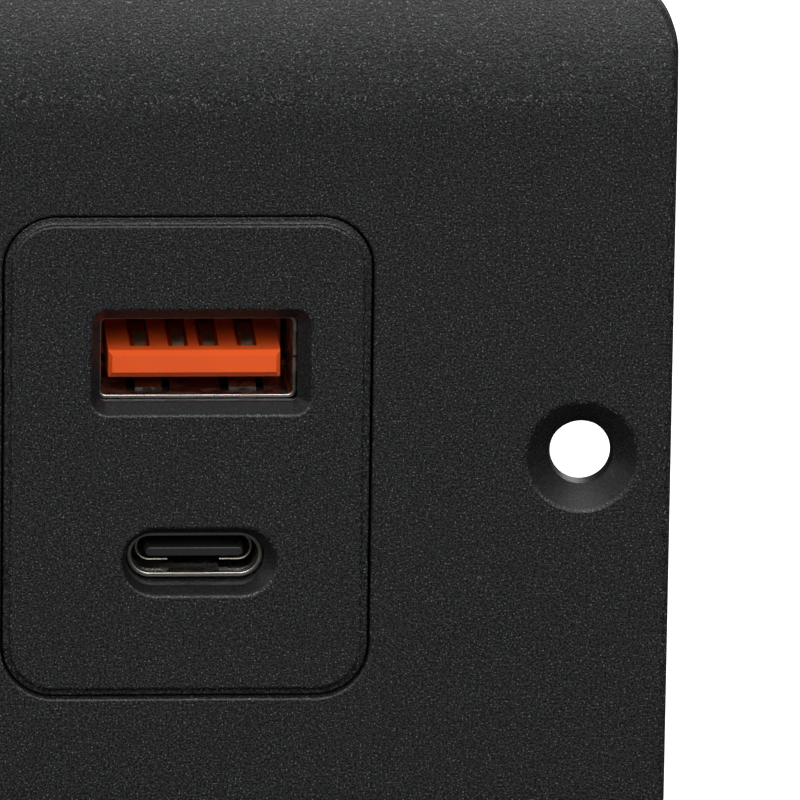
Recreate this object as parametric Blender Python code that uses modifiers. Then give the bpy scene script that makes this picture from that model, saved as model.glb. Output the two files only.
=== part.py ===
"""Recessed furniture power strip: two mains outlets and a USB insert in one faceplate.

The faceplate looks along -Y. +X runs to the USB end and +Z is up. The origin is at the middle of the
faceplate's rear face, which seats on the furniture panel. Lengths are in metres.
"""

from math import asin, cos, pi, radians, sin

import bmesh
import bpy
from mathutils import Matrix, Vector

mm = 0.001

# Fits
GAP = 0.3 * mm  # between pieces that seat on or beside each other
PANEL_GAP = 0.15 * mm  # round each insert, in the faceplate's opening

# Faceplate
PLATE_WIDTH = 140.0 * mm
PLATE_HEIGHT = 64.0 * mm
PLATE_THICKNESS = 3.0 * mm
PLATE_CORNER = 5.0 * mm
EDGE_FILLET = 0.6 * mm
ROLL_WIDTH = 9.7 * mm  # the front face rolls back over this much of both long edges
ROLL_DROP = 1.6 * mm
HOLE_INSET = 5.87 * mm  # mounting hole's centre to the plate's end
HOLE_DIAMETER = 3.95 * mm
HOLE_WALL = 2.0 * mm  # what is left of the plate round each hole
SINK_DIAMETER = 7.5 * mm
SINK_FLOOR = 4.25 * mm  # diameter at the foot of the countersink
SINK_DEPTH = 1.2 * mm
RELIEF_DIAMETER = 6.0 * mm  # pocket behind each hole

# Inserts
INSERT_HEIGHT = 32.4 * mm
INSERT_CORNER = 3.4 * mm
OUTLET_WIDTH = 32.5 * mm
USB_WIDTH = 23.9 * mm
INSERT_SPACE = 5.8 * mm  # between neighbouring inserts
OUTLET_COUNT = 2
RIM_WIDTH = 0.45 * mm  # the sunk border of each insert
RIM_DEPTH = 0.35 * mm
FLANGE_WIDTH = 1.2 * mm
FLANGE_THICKNESS = 1.2 * mm
INSERT_WALL = 2.0 * mm
OUTLET_FACE = 2.5 * mm  # thickness of an outlet's front wall
SKIRT_DEPTH = 3.0 * mm  # how far an outlet insert reaches behind the faceplate

# USB sockets
PORT_SHIFT = 0.66 * mm  # both sockets sit this far right of the insert's middle
MOUTH_SHIFT = 0.24 * mm  # their bevelled mouths sit this far right of the sockets
USB_A_HEIGHT = 6.48 * mm  # above the insert's middle
USB_C_HEIGHT = -7.06 * mm
BEVEL_DEPTH = 0.8 * mm
A_BEVEL = 0.75 * mm
A_OPENING = (12.9 * mm, 5.63 * mm)
A_OPENING_SHIFT = 0.1 * mm  # right of the socket
A_CORNER = 0.35 * mm
A_INNER = (12.5 * mm, 5.12 * mm)  # inside of the socket's shell
A_WALL = 0.3 * mm
A_SUNK = 1.5 * mm  # shell's front edge below the insert's face
A_TONGUE = (11.26 * mm, 1.84 * mm)
A_TONGUE_LIFT = 1.0 * mm  # tongue's underside above the shell's floor
A_TONGUE_SUNK = 0.3 * mm
A_TONGUE_SHIFT = -0.14 * mm
A_TONGUE_LENGTH = 8.6 * mm
A_CHAMFER = (0.34 * mm, 0.4 * mm)
A_CONTACT_PLACES = (-3.5 * mm, -1.0 * mm, 1.0 * mm, 3.5 * mm)
A_CONTACT_WIDTH = 0.8 * mm
A_CONTACT_THICKNESS = 0.2 * mm
A_SLOT_WIDTH = 1.3 * mm
A_SLOT_DEPTH = 0.55 * mm
A_SLOT_START = 1.2 * mm  # behind the tongue's front
A_BOW_START = (0.0, 0.17 * mm)  # a contact's bow: depth behind its front and height over its slot's floor
A_BOW_CREST = ((0.7 * mm, 0.66 * mm), (1.6 * mm, 0.77 * mm))
A_BOW_END = (4.0 * mm, 0.22 * mm)
C_BEVEL = 0.55 * mm
C_OPENING = (9.1 * mm, 3.55 * mm)
C_OUTER = (8.94 * mm, 3.1 * mm)
C_WALL = 0.3 * mm
C_SUNK = 1.9 * mm
C_TONGUE = (6.5 * mm, 0.7 * mm)
C_TONGUE_SUNK = 0.6 * mm
C_ROOT_HEIGHT = 1.3 * mm  # the thicker root behind the tongue
C_TONGUE_LENGTH = 4.5 * mm
C_TONGUE_CORNER = 0.15 * mm
C_GROUND_SUNK = 1.8 * mm  # ground collar behind the shell's front
C_GROUND_WALL = 0.2 * mm
C_GROUND_LENGTH = 2.5 * mm
C_GROUND_NOTCH = (3.4 * mm, 1.2 * mm)  # width and depth, in the collar's top and bottom
C_BASE_THICKNESS = 3.0 * mm  # moulded base that fills the shell's rear

# USB board and what stands on it
BOARD_DEPTH = 13.0 * mm  # the board's front face, behind the seating plane
BOARD_THICKNESS = 1.6 * mm
POST_RADIUS = 2.0 * mm
BOARD_SCREW_LENGTH = 6.0 * mm
CASE_WALL = 1.2 * mm
CASE_HEADROOM = 2.9 * mm  # behind the tallest component
CORE_INSET = (0.45 * mm, 2.5 * mm)  # from the case's right wall and its top
CORE_SIZE = (15.0 * mm, 13.0 * mm)
CORE_LIMB = 2.6 * mm
CORE_DEPTH = 6.0 * mm
CORE_CORNER = 0.5 * mm
WINDING_DEPTH = 11.5 * mm
WINDING_EDGE = 0.3 * mm
INPUT_CAPACITOR = (4.0 * mm, 12.0 * mm)  # radius and height
INPUT_INSET = (0.45 * mm, 0.7 * mm)  # from the case's left wall and its floor
OUTPUT_CAPACITOR = (3.15 * mm, 9.0 * mm)
OUTPUT_INSET = (1.15 * mm, 1.05 * mm)  # from the input capacitor and the case's floor
FUSE = (2.2 * mm, 6.0 * mm)
FUSE_PLACE = (-0.6 * mm, -4.2 * mm)  # from the USB insert's middle
CAN_GROOVE = 0.12  # of a can's radius
CHIP_SIZE = 4.8 * mm
CHIP_INSET = 0.75 * mm  # from the case's left wall
CHIP_PLACE = 3.0 * mm
CHIP_HEIGHT = 1.5 * mm
CHIP_EDGE = 0.2 * mm
LEAD_RADIUS = 0.8 * mm
LEAD_DEPTH = 16.8 * mm  # where both leads pass the case's wall
LIVE_LEAD_HEIGHT = 8.2 * mm
NEUTRAL_LEAD_HEIGHT = -2.0 * mm
LEAD_INSIDE = 3.0 * mm
LEAD_STRAIGHT = 0.3  # share of each lead that is straight, through the case's wall

# Rear housing
HOUSING_WALL = 2.0 * mm
HOUSING_ROOM = 3.0 * mm  # behind the USB case
HOUSING_CORNER = 3.0 * mm
BOSS_RADIUS = 3.0 * mm
BOSS_HEIGHT = 6.5 * mm
BOSS_PLACE = 44.0 * mm  # from the housing's middle, along the plate
WELL_FLOOR = 2.2 * mm
SCREW_RADIUS = 1.5 * mm
SCREW_LENGTH = 8.0 * mm
HEAD_RADIUS = 2.7 * mm
HEAD_HEIGHT = 2.1 * mm
SMALL_SCREW = 0.6  # board, carrier and terminal screws against a housing screw
DRIVE_CROSS = (0.62, 0.16)  # half length and half width of a drive's arms against the head's radius
HEAD_TOP = 0.75  # flat of a head against its radius

# Cord inlet
GLAND_PLACE = (-36.0 * mm, 0.0)
GLAND_BORE = 4.0 * mm
GLAND_WALL = 1.7 * mm
GLAND_FLANGE = (8.0 * mm, 2.2 * mm)  # radius and thickness
GLAND_EDGE = 0.5 * mm
NUT_ACROSS = 15.0 * mm
NUT_THICKNESS = 4.0 * mm

# Mains contacts
BLADE_PITCH = 12.7 * mm
BLADE_HEIGHT = 4.3 * mm  # blade slots' middle above the insert's middle
EARTH_DROP = 11.9 * mm  # earth hole below the blade slots
LIVE_SLOT = (2.2 * mm, 7.0 * mm)
NEUTRAL_SLOT = (2.2 * mm, 8.4 * mm)
SLOT_CORNER = 0.3 * mm
EARTH_RADIUS = 2.55 * mm
EARTH_FLAT = 1.5 * mm  # flat of the earth hole, above its middle
CARRIER_BACK = 16.7 * mm
CARRIER_EDGE = 0.8 * mm
TERMINAL_GRIP = 4.0 * mm  # terminal screws' reach into the carrier
LEAF_HEIGHT = 7.0 * mm
LEAF_THICKNESS = 0.6 * mm
BLADE_GRIP = 1.3 * mm  # clear width between a blade's two leaves
EARTH_GRIP = 4.1 * mm
EARTH_LEAF_HEIGHT = 4.4 * mm
LEAF_FRONT = 6.0 * mm
TAB_EDGE = 0.3 * mm  # tab beyond its leaves
TAB_STEP = 0.05 * mm  # each tab is pressed this much thinner on both faces
BAR_THICKNESS = 0.8 * mm
BAR_WIDTH = 4.0 * mm
BAR_LIFT = 12.0 * mm  # live bar above the insert's middle
NEUTRAL_BAR_DROP = 4.0 * mm
EARTH_BAR_DROP = 14.0 * mm
INSULATOR_THICKNESS = 1.2 * mm
BAR_TAIL = 7.5 * mm  # bars run this far past the end slots

# Safety shutters
SHUTTER_TRAVEL = 3.2 * mm
SHUTTER_HEIGHT = 10.4 * mm
SHUTTER_THICKNESS = 3.0 * mm
SHUTTER_LAND = 1.15 * mm  # shutter beyond a slot's edge
WINDOW_WIDTH = 2.6 * mm
RAIL_WIDTH = 1.2 * mm
RAMP_DEPTH = 1.4 * mm
SPRING_RADIUS = 1.3 * mm
SPRING_WIRE = 0.18 * mm
SPRING_TURNS = 5

# Facets
CORNER_FACETS = 5
SMALL_CORNER_FACETS = 3
FILLET_FACETS = 3
ROUND_FACETS = 20
WIDE_FACETS = 32
POST_FACETS = 16
SMALL_BORE_FACETS = 12
SCREW_FACETS = 14
SPRING_FACETS = 8
LEAD_POINTS = 10
END_FLAT = 0.01 * mm  # flat left between the two rounded corners of a half-round end
WELD = 0.001 * mm
BEVEL_ANGLE = radians(40)
FLAT_ANGLE = radians(0.2)  # faces this close to one plane become one face

# Places that follow from the sizes above
PLATE_FRONT = -PLATE_THICKNESS
INSERT_SPAN = OUTLET_COUNT * (OUTLET_WIDTH + INSERT_SPACE) + USB_WIDTH
FIRST_OUTLET = -INSERT_SPAN / 2 + OUTLET_WIDTH / 2
OUTLET_PLACES = [FIRST_OUTLET + i * (OUTLET_WIDTH + INSERT_SPACE) for i in range(OUTLET_COUNT)]
USB_PLACE = INSERT_SPAN / 2 - USB_WIDTH / 2
A_PLACE = (USB_PLACE + PORT_SHIFT, USB_A_HEIGHT)
A_TONGUE_PLACE = (A_PLACE[0] + A_TONGUE_SHIFT, USB_A_HEIGHT)
C_PLACE = (USB_PLACE + PORT_SHIFT, USB_C_HEIGHT)
C_CORNER = C_OPENING[1] / 2 - END_FLAT
FLANGE_BACK = GAP + FLANGE_THICKNESS
INSERT_BACK = FLANGE_BACK + GAP
BOSS_OFFSET = INSERT_HEIGHT / 2 + FLANGE_WIDTH + GAP + BOSS_RADIUS
HOUSING_WIDTH = INSERT_SPAN + 2 * (FLANGE_WIDTH + GAP + HOUSING_WALL)
HOUSING_HEIGHT = 2 * (BOSS_OFFSET + BOSS_RADIUS + GAP + HOUSING_WALL)
COLUMN_RADIUS = BOSS_OFFSET - INSERT_HEIGHT / 2 - GAP
CARRIER_FRONT = SKIRT_DEPTH + GAP
LIVE_BAR_FRONT = CARRIER_BACK + GAP
INSULATOR_FRONT = LIVE_BAR_FRONT + BAR_THICKNESS + GAP
NEUTRAL_BAR_FRONT = INSULATOR_FRONT + INSULATOR_THICKNESS + GAP
EARTH_HEIGHT = BLADE_HEIGHT - EARTH_DROP
OUTLET_CAVITY = OUTLET_WIDTH / 2 - INSERT_WALL  # half the width inside an outlet insert
CASE_FRONT = INSERT_BACK + GAP
CASE_INSIDE = (USB_WIDTH - 2 * CASE_WALL, INSERT_HEIGHT - 2 * CASE_WALL)
BOARD_SIZE = (CASE_INSIDE[0] - 2 * GAP, CASE_INSIDE[1] - 2 * GAP)
BOARD_BACK = BOARD_DEPTH + BOARD_THICKNESS
BOARD_TOP = BOARD_BACK + GAP + max(WINDING_DEPTH, INPUT_CAPACITOR[1], OUTPUT_CAPACITOR[1], FUSE[1])
CASE_BACK = BOARD_TOP + CASE_HEADROOM + CASE_WALL
HOUSING_DEPTH = CASE_BACK + HOUSING_ROOM + HOUSING_WALL
CARRIER_SCREW_SEAT = CARRIER_BACK - GAP - SMALL_SCREW * HEAD_HEIGHT
POST_INSET = POST_RADIUS + GAP
SMALL_SHANK = SMALL_SCREW * SCREW_RADIUS
SMALL_HEAD = SMALL_SCREW * HEAD_RADIUS


def clear_scene():
    for thing in list(bpy.data.objects):
        bpy.data.objects.remove(thing)


def new_collection(name):
    made = bpy.data.collections.new(name)
    bpy.context.scene.collection.children.link(made)
    return made


clear_scene()
PARTS = new_collection("power_strip")
CUTTERS = new_collection("cutters")
CUTTERS.hide_render = True


def finish(name, colour, roughness, metallic=0.0):
    """A plain Principled material."""
    made = bpy.data.materials.new(name)
    made.use_nodes = True
    shader = made.node_tree.nodes["Principled BSDF"]
    shader.inputs["Base Color"].default_value = (*colour, 1.0)
    shader.inputs["Roughness"].default_value = roughness
    shader.inputs["Metallic"].default_value = metallic
    return made


BLACK_PLASTIC = finish("black_plastic", (0.022, 0.023, 0.025), 0.55)
ORANGE_PLASTIC = finish("orange_plastic", (0.82, 0.10, 0.015), 0.4)
DARK_PLASTIC = finish("dark_plastic", (0.012, 0.012, 0.013), 0.4)
GREY_PLASTIC = finish("grey_plastic", (0.16, 0.16, 0.17), 0.5)
WHITE_PLASTIC = finish("white_plastic", (0.62, 0.62, 0.58), 0.45)
STEEL = finish("steel", (0.55, 0.54, 0.52), 0.28, 1.0)
BRASS = finish("brass", (0.72, 0.52, 0.22), 0.3, 1.0)
FERRITE = finish("ferrite", (0.06, 0.06, 0.065), 0.6)
YELLOW_TAPE = finish("yellow_tape", (0.75, 0.55, 0.08), 0.35)
GREEN_BOARD = finish("green_board", (0.02, 0.14, 0.06), 0.35)
CAN_SLEEVE = finish("can_sleeve", (0.03, 0.05, 0.14), 0.3)
RED_SLEEVE = finish("red_sleeve", (0.45, 0.02, 0.015), 0.45)
WHITE_SLEEVE = finish("white_sleeve", (0.7, 0.7, 0.68), 0.45)


def arc(middle, radius, start, end, facets):
    """Points on an arc, both ends included. Angles are in radians."""
    steps = [start + (end - start) * i / facets for i in range(facets + 1)]
    return [(middle[0] + radius * cos(a), middle[1] + radius * sin(a)) for a in steps]


def rounded(width, height, radius, facets=CORNER_FACETS):
    """A rectangle's outline with round corners, anticlockwise round its middle."""
    x = width / 2 - radius
    z = height / 2 - radius
    corners = [((x, -z), -pi / 2), ((x, z), 0.0), ((-x, z), pi / 2), ((-x, -z), pi)]
    return [p for middle, start in corners for p in arc(middle, radius, start, start + pi / 2, facets)]


def stadium(width, height, facets):
    """An outline with two half-round ends."""
    return rounded(width, height, height / 2 - END_FLAT, facets // 2)


def rectangle(low, high):
    return [(low[0], low[1]), (high[0], low[1]), (high[0], high[1]), (low[0], high[1])]


def mesh_object(name, mesh, matrix=None):
    made = bpy.data.objects.new(name, mesh)
    made.matrix_basis = matrix or Matrix()
    PARTS.objects.link(made)
    return made


def as_mesh(curve_object):
    """Turns a curve object into a welded mesh object in the same place."""
    bpy.context.scene.collection.objects.link(curve_object)
    graph = bpy.context.evaluated_depsgraph_get()
    mesh = bpy.data.meshes.new_from_object(curve_object.evaluated_get(graph))
    shape = bmesh.new()
    shape.from_mesh(mesh)
    bmesh.ops.remove_doubles(shape, verts=shape.verts, dist=WELD)
    bmesh.ops.recalc_face_normals(shape, faces=shape.faces)
    bmesh.ops.dissolve_limit(shape, angle_limit=FLAT_ANGLE, verts=shape.verts, edges=shape.edges)
    shape.to_mesh(mesh)
    shape.free()
    name = curve_object.name
    matrix = curve_object.matrix_world.copy()
    bpy.data.objects.remove(curve_object)
    return mesh_object(name, mesh, matrix)


def extruded(name, outline, low, high, place, turn):
    """A flat outline made solid from low to high along its own axis, then turned and placed."""
    curve = bpy.data.curves.new(name, "CURVE")
    curve.dimensions = "2D"
    curve.fill_mode = "BOTH"
    curve.extrude = (high - low) / 2
    spline = curve.splines.new("POLY")
    spline.points.add(len(outline) - 1)
    for point, (u, v) in zip(spline.points, outline):
        point.co = (u, v, 0.0, 1.0)
    spline.use_cyclic_u = True
    flat = bpy.data.objects.new(name, curve)
    lift = Matrix.Translation((0.0, 0.0, (low + high) / 2))
    flat.matrix_world = Matrix.Translation(place) @ turn @ lift
    return as_mesh(flat)


# Outline axes: X and Z with the thickness towards the front, or Y and Z with the thickness along X
FACING_FRONT = Matrix(((1, 0, 0, 0), (0, 0, -1, 0), (0, 1, 0, 0), (0, 0, 0, 1)))
FACING_END = Matrix(((0, 0, 1, 0), (1, 0, 0, 0), (0, 1, 0, 0), (0, 0, 0, 1)))


def slab(name, outline, front, back, place=(0.0, 0.0)):
    """An outline in X and Z, solid from one depth in Y to another."""
    return extruded(name, outline, -back, -front, (place[0], 0.0, place[1]), FACING_FRONT)


def block(name, low, high):
    """A box between two corners."""
    shape = bmesh.new()
    bmesh.ops.create_cube(shape, size=1.0)
    bmesh.ops.scale(shape, vec=Vector(high) - Vector(low), verts=shape.verts)
    mesh = bpy.data.meshes.new(name)
    shape.to_mesh(mesh)
    shape.free()
    return mesh_object(name, mesh, Matrix.Translation((Vector(high) + Vector(low)) / 2))


def turned(name, profile, place, facets=ROUND_FACETS, ring=False):
    """A profile of (radius, depth) points turned about an axis along Y.

    The points run from front to back on the outer side. A ring's profile is a closed loop.
    """
    count = len(profile)
    edges = [(i, (i + 1) % count) for i in range(count if ring else count - 1)]
    mesh = bpy.data.meshes.new(name)
    mesh.from_pydata([(r, 0.0, -depth) for r, depth in profile], edges, [])
    made = mesh_object(name, mesh, Matrix.Translation((place[0], 0.0, place[1])) @ FACING_FRONT)
    screw = made.modifiers.new("turn", "SCREW")
    screw.axis = "Z"
    screw.steps = facets
    screw.render_steps = facets
    screw.use_merge_vertices = True
    screw.merge_threshold = 10 * WELD
    return made


def rod(name, radius, front, back, place, facets=ROUND_FACETS):
    return turned(name, [(0.0, front), (radius, front), (radius, back), (0.0, back)], place, facets)


def sunk_way(shank, head, seat, place):
    """Cutter for a screw's shank hole and the wider way for its head behind the seat."""
    near = (shank + GAP, -HOUSING_DEPTH), (shank + GAP, seat - GAP)
    far = (head + GAP, seat - GAP), (head + GAP, 2 * HOUSING_DEPTH)
    profile = [(0.0, -HOUSING_DEPTH), *near, *far, (0.0, 2 * HOUSING_DEPTH)]
    return turned("sunk_way", profile, place)


def lofted(name, sections, place):
    """A solid through outlines of equal point count, each at its own depth."""
    shape = bmesh.new()
    rows = [[shape.verts.new((x, depth, z)) for x, z in outline] for outline, depth in sections]
    for near, far in zip(rows, rows[1:]):
        for i in range(len(near)):
            j = (i + 1) % len(near)
            shape.faces.new((near[i], near[j], far[j], far[i]))
    shape.faces.new(list(reversed(rows[0])))
    shape.faces.new(rows[-1])
    bmesh.ops.recalc_face_normals(shape, faces=shape.faces)
    mesh = bpy.data.meshes.new(name)
    shape.to_mesh(mesh)
    shape.free()
    return mesh_object(name, mesh, Matrix.Translation((place[0], 0.0, place[1])))


def combine(target, other, operation):
    """A Boolean of one object with a helper, which is left out of the assembly."""
    step = target.modifiers.new(operation.lower(), "BOOLEAN")
    step.operation = operation
    step.solver = "EXACT"
    step.object = other
    PARTS.objects.unlink(other)
    CUTTERS.objects.link(other)
    other.hide_render = True
    other.display_type = "WIRE"
    return target


def add(target, *others):
    for other in others:
        combine(target, other, "UNION")
    return target


def cut(target, *others):
    for other in others:
        combine(target, other, "DIFFERENCE")
    return target


def bevel(target, width, segments=2):
    step = target.modifiers.new("bevel", "BEVEL")
    step.width = width
    step.segments = segments
    step.limit_method = "ANGLE"
    step.angle_limit = BEVEL_ANGLE
    return target


def dress(target, material):
    target.data.materials.clear()
    target.data.materials.append(material)
    return target


# Faceplate


def plate_section():
    """The faceplate's outline across its height as (depth, height): both long edges roll back."""
    half = PLATE_HEIGHT / 2
    radius = (ROLL_WIDTH**2 + ROLL_DROP**2) / (2 * ROLL_DROP)
    sweep = asin(ROLL_WIDTH / radius)
    middle = (PLATE_FRONT + radius, ROLL_WIDTH - half)
    bottom = arc(middle, radius, pi, pi + sweep, CORNER_FACETS)
    past = -half - PLATE_THICKNESS
    bottom.append((bottom[-1][0], past))
    top = [(depth, -height) for depth, height in reversed(bottom)]
    return [*top, *bottom, (-2 * PLATE_FRONT, past), (-2 * PLATE_FRONT, -past)]


def mounting_hole(side):
    """Cutter for the countersunk mounting hole at one end of the faceplate."""
    sink = SINK_DIAMETER / 2
    floor = SINK_FLOOR / 2
    bore = HOLE_DIAMETER / 2
    relief = RELIEF_DIAMETER / 2
    wall_back = PLATE_FRONT + HOLE_WALL
    spare = PLATE_THICKNESS
    wide = sink + spare * (sink - floor) / SINK_DEPTH
    profile = [(0.0, PLATE_FRONT - spare), (wide, PLATE_FRONT - spare)]
    profile += [(floor, PLATE_FRONT + SINK_DEPTH), (bore, wall_back), (relief, wall_back)]
    profile += [(relief, spare), (0.0, spare)]
    place = (side * (PLATE_WIDTH / 2 - HOLE_INSET), 0.0)
    return turned("mounting_hole", profile, place, WIDE_FACETS)


def boss_places():
    return [(x, z) for x in (-BOSS_PLACE, BOSS_PLACE) for z in (-BOSS_OFFSET, BOSS_OFFSET)]


def insert_places():
    outlets = [(place, OUTLET_WIDTH) for place in OUTLET_PLACES]
    return [*outlets, (USB_PLACE, USB_WIDTH)]


def make_faceplate():
    outline = rounded(PLATE_WIDTH, PLATE_HEIGHT, PLATE_CORNER)
    plate = slab("faceplate", outline, 2 * PLATE_FRONT, PLATE_THICKNESS)
    stretch = (-PLATE_WIDTH, PLATE_WIDTH, (0.0, 0.0, 0.0), FACING_END)
    combine(plate, extruded("crown", plate_section(), *stretch), "INTERSECT")
    bevel(plate, EDGE_FILLET, FILLET_FACETS)
    whole = rounded(2 * PLATE_WIDTH, 2 * PLATE_HEIGHT, PLATE_CORNER)
    cut(plate, slab("rear_trim", whole, 0.0, 3 * PLATE_THICKNESS))
    for place in boss_places():
        add(plate, rod("boss", BOSS_RADIUS, PLATE_FRONT / 2, BOSS_HEIGHT, place))
    for place in boss_places():
        cut(plate, rod("pilot", SCREW_RADIUS + GAP, GAP, 2 * BOSS_HEIGHT, place, POST_FACETS))
    for x, width in insert_places():
        size = (width + 2 * PANEL_GAP, INSERT_HEIGHT + 2 * PANEL_GAP)
        opening = rounded(*size, INSERT_CORNER + PANEL_GAP)
        cut(plate, slab("opening", opening, 2 * PLATE_FRONT, PLATE_THICKNESS, (x, 0.0)))
    cut(plate, mounting_hole(-1), mounting_hole(1))
    dress(plate, BLACK_PLASTIC)


# Inserts


def insert_body(name, x, width, back):
    """An insert's stepped face, and its flange behind the faceplate."""
    rim = rounded(width, INSERT_HEIGHT, INSERT_CORNER)
    inner = (width - 2 * RIM_WIDTH, INSERT_HEIGHT - 2 * RIM_WIDTH)
    face = rounded(*inner, INSERT_CORNER - RIM_WIDTH)
    outer = (width + 2 * FLANGE_WIDTH, INSERT_HEIGHT + 2 * FLANGE_WIDTH)
    flange = rounded(*outer, INSERT_CORNER + FLANGE_WIDTH)
    body = slab(name, rim, PLATE_FRONT + RIM_DEPTH, back, (x, 0.0))
    add(body, slab("face", face, PLATE_FRONT, PLATE_FRONT + 2 * RIM_DEPTH, (x, 0.0)))
    return add(body, slab("flange", flange, GAP, FLANGE_BACK, (x, 0.0)))


def port_mouth(name, opening, corner, bevel_width, shift, place):
    """Cutter for a port: a bevelled mouth and the straight hole behind it, shifted from the socket."""
    grown = (opening[0] + 2 * bevel_width, opening[1] + 2 * bevel_width)
    wide = [(x + MOUTH_SHIFT, z) for x, z in rounded(*grown, corner + bevel_width)]
    narrow = [(x + shift, z) for x, z in rounded(*opening, corner)]
    sections = [(wide, 2 * PLATE_FRONT), (wide, PLATE_FRONT)]
    sections += [(narrow, PLATE_FRONT + BEVEL_DEPTH), (narrow, 2 * INSERT_BACK)]
    return lofted(name, sections, place)


def board_posts():
    """Two opposite corners of the USB board, where its screws go."""
    x = CASE_INSIDE[0] / 2 - POST_INSET
    z = CASE_INSIDE[1] / 2 - POST_INSET
    return [(USB_PLACE - x, z), (USB_PLACE + x, -z)]


def make_usb_insert():
    insert = insert_body("usb_insert", USB_PLACE, USB_WIDTH, INSERT_BACK)
    for place in board_posts():
        add(insert, rod("board_post", POST_RADIUS, 0.0, BOARD_DEPTH - GAP, place, POST_FACETS))
    for place in board_posts():
        pilot = (BOARD_DEPTH / 2, BOARD_BACK, place, SMALL_BORE_FACETS)
        cut(insert, rod("pilot", SMALL_SHANK + GAP, *pilot))
    a_mouth = (A_OPENING, A_CORNER, A_BEVEL, A_OPENING_SHIFT, A_PLACE)
    cut(insert, port_mouth("usb_a_mouth", *a_mouth))
    cut(insert, port_mouth("usb_c_mouth", C_OPENING, C_CORNER, C_BEVEL, 0.0, C_PLACE))
    clear = [size + 2 * (A_WALL + PANEL_GAP) for size in A_INNER]
    front = PLATE_FRONT + A_SUNK - PANEL_GAP
    cut(insert, slab("shell_seat", rounded(*clear, A_CORNER), front, 2 * INSERT_BACK, A_PLACE))
    dress(insert, BLACK_PLASTIC)


def blade_outline(size):
    return rounded(*size, SLOT_CORNER, SMALL_CORNER_FACETS - 1)


def earth_outline():
    """A round hole with a flat on top."""
    start = pi - asin(EARTH_FLAT / EARTH_RADIUS)
    return arc((0.0, 0.0), EARTH_RADIUS, start, 3 * pi - start, ROUND_FACETS)


def blade_places(x):
    """Live and neutral slots of the outlet at x, each with its size."""
    half = BLADE_PITCH / 2
    return [((x + half, BLADE_HEIGHT), LIVE_SLOT), ((x - half, BLADE_HEIGHT), NEUTRAL_SLOT)]


def post_places(x):
    """Screw posts of the outlet at x, either side of its earth hole."""
    reach = OUTLET_CAVITY - POST_INSET
    return [(x - reach, EARTH_HEIGHT), (x + reach, EARTH_HEIGHT)]


def add_shutter_guides(insert, x):
    """Two rails above and below the shutter, and the stop at its right end."""
    front = PLATE_FRONT + OUTLET_FACE - GAP
    back = SKIRT_DEPTH - GAP
    near = SHUTTER_HEIGHT / 2 + GAP
    far = near + RAIL_WIDTH
    wall = OUTLET_CAVITY + INSERT_WALL / 2
    for low, high in ((-far, -near), (near, far)):
        low_corner = (x - wall, front, BLADE_HEIGHT + low)
        add(insert, block("rail", low_corner, (x + wall, back, BLADE_HEIGHT + high)))
    reach = near + RAIL_WIDTH / 2
    stop = (x + shutter_span()[1] + GAP, front, BLADE_HEIGHT - reach)
    add(insert, block("stop", stop, (x + wall, back + GAP / 2, BLADE_HEIGHT + reach)))


def make_outlet_insert(name, x):
    insert = insert_body(name, x, OUTLET_WIDTH, SKIRT_DEPTH)
    inner_front = PLATE_FRONT + OUTLET_FACE
    size = (2 * OUTLET_CAVITY, INSERT_HEIGHT - 2 * INSERT_WALL)
    cavity = rounded(*size, INSERT_CORNER - INSERT_WALL / 2)
    cut(insert, slab("cavity", cavity, inner_front, 2 * SKIRT_DEPTH, (x, 0.0)))
    add_shutter_guides(insert, x)
    for place in post_places(x):
        post = (inner_front - GAP, SKIRT_DEPTH - GAP, place, POST_FACETS)
        add(insert, rod("post", POST_RADIUS, *post))
    for place in post_places(x):
        pilot = (inner_front, 2 * SKIRT_DEPTH, place, SMALL_BORE_FACETS)
        cut(insert, rod("pilot", SMALL_SHANK + GAP, *pilot))
    for place, size in blade_places(x):
        cut(insert, slab("slot", blade_outline(size), 2 * PLATE_FRONT, SKIRT_DEPTH / 2, place))
    earth = (x, EARTH_HEIGHT)
    cut(insert, slab("earth_hole", earth_outline(), 2 * PLATE_FRONT, SKIRT_DEPTH / 2, earth))
    dress(insert, BLACK_PLASTIC)


# USB sockets


def make_usb_a():
    front = PLATE_FRONT + A_SUNK
    back = BOARD_DEPTH - GAP
    outer = rounded(A_INNER[0] + 2 * A_WALL, A_INNER[1] + 2 * A_WALL, A_CORNER + A_WALL)
    shell = slab("usb_a_shell", outer, front, back, A_PLACE)
    hollow = rounded(*A_INNER, A_CORNER)
    cut(shell, slab("hollow", hollow, front - A_SUNK, back + A_SUNK, A_PLACE))
    dress(shell, STEEL)
    make_a_tongue(front + A_TONGUE_SUNK, back - GAP)


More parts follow.
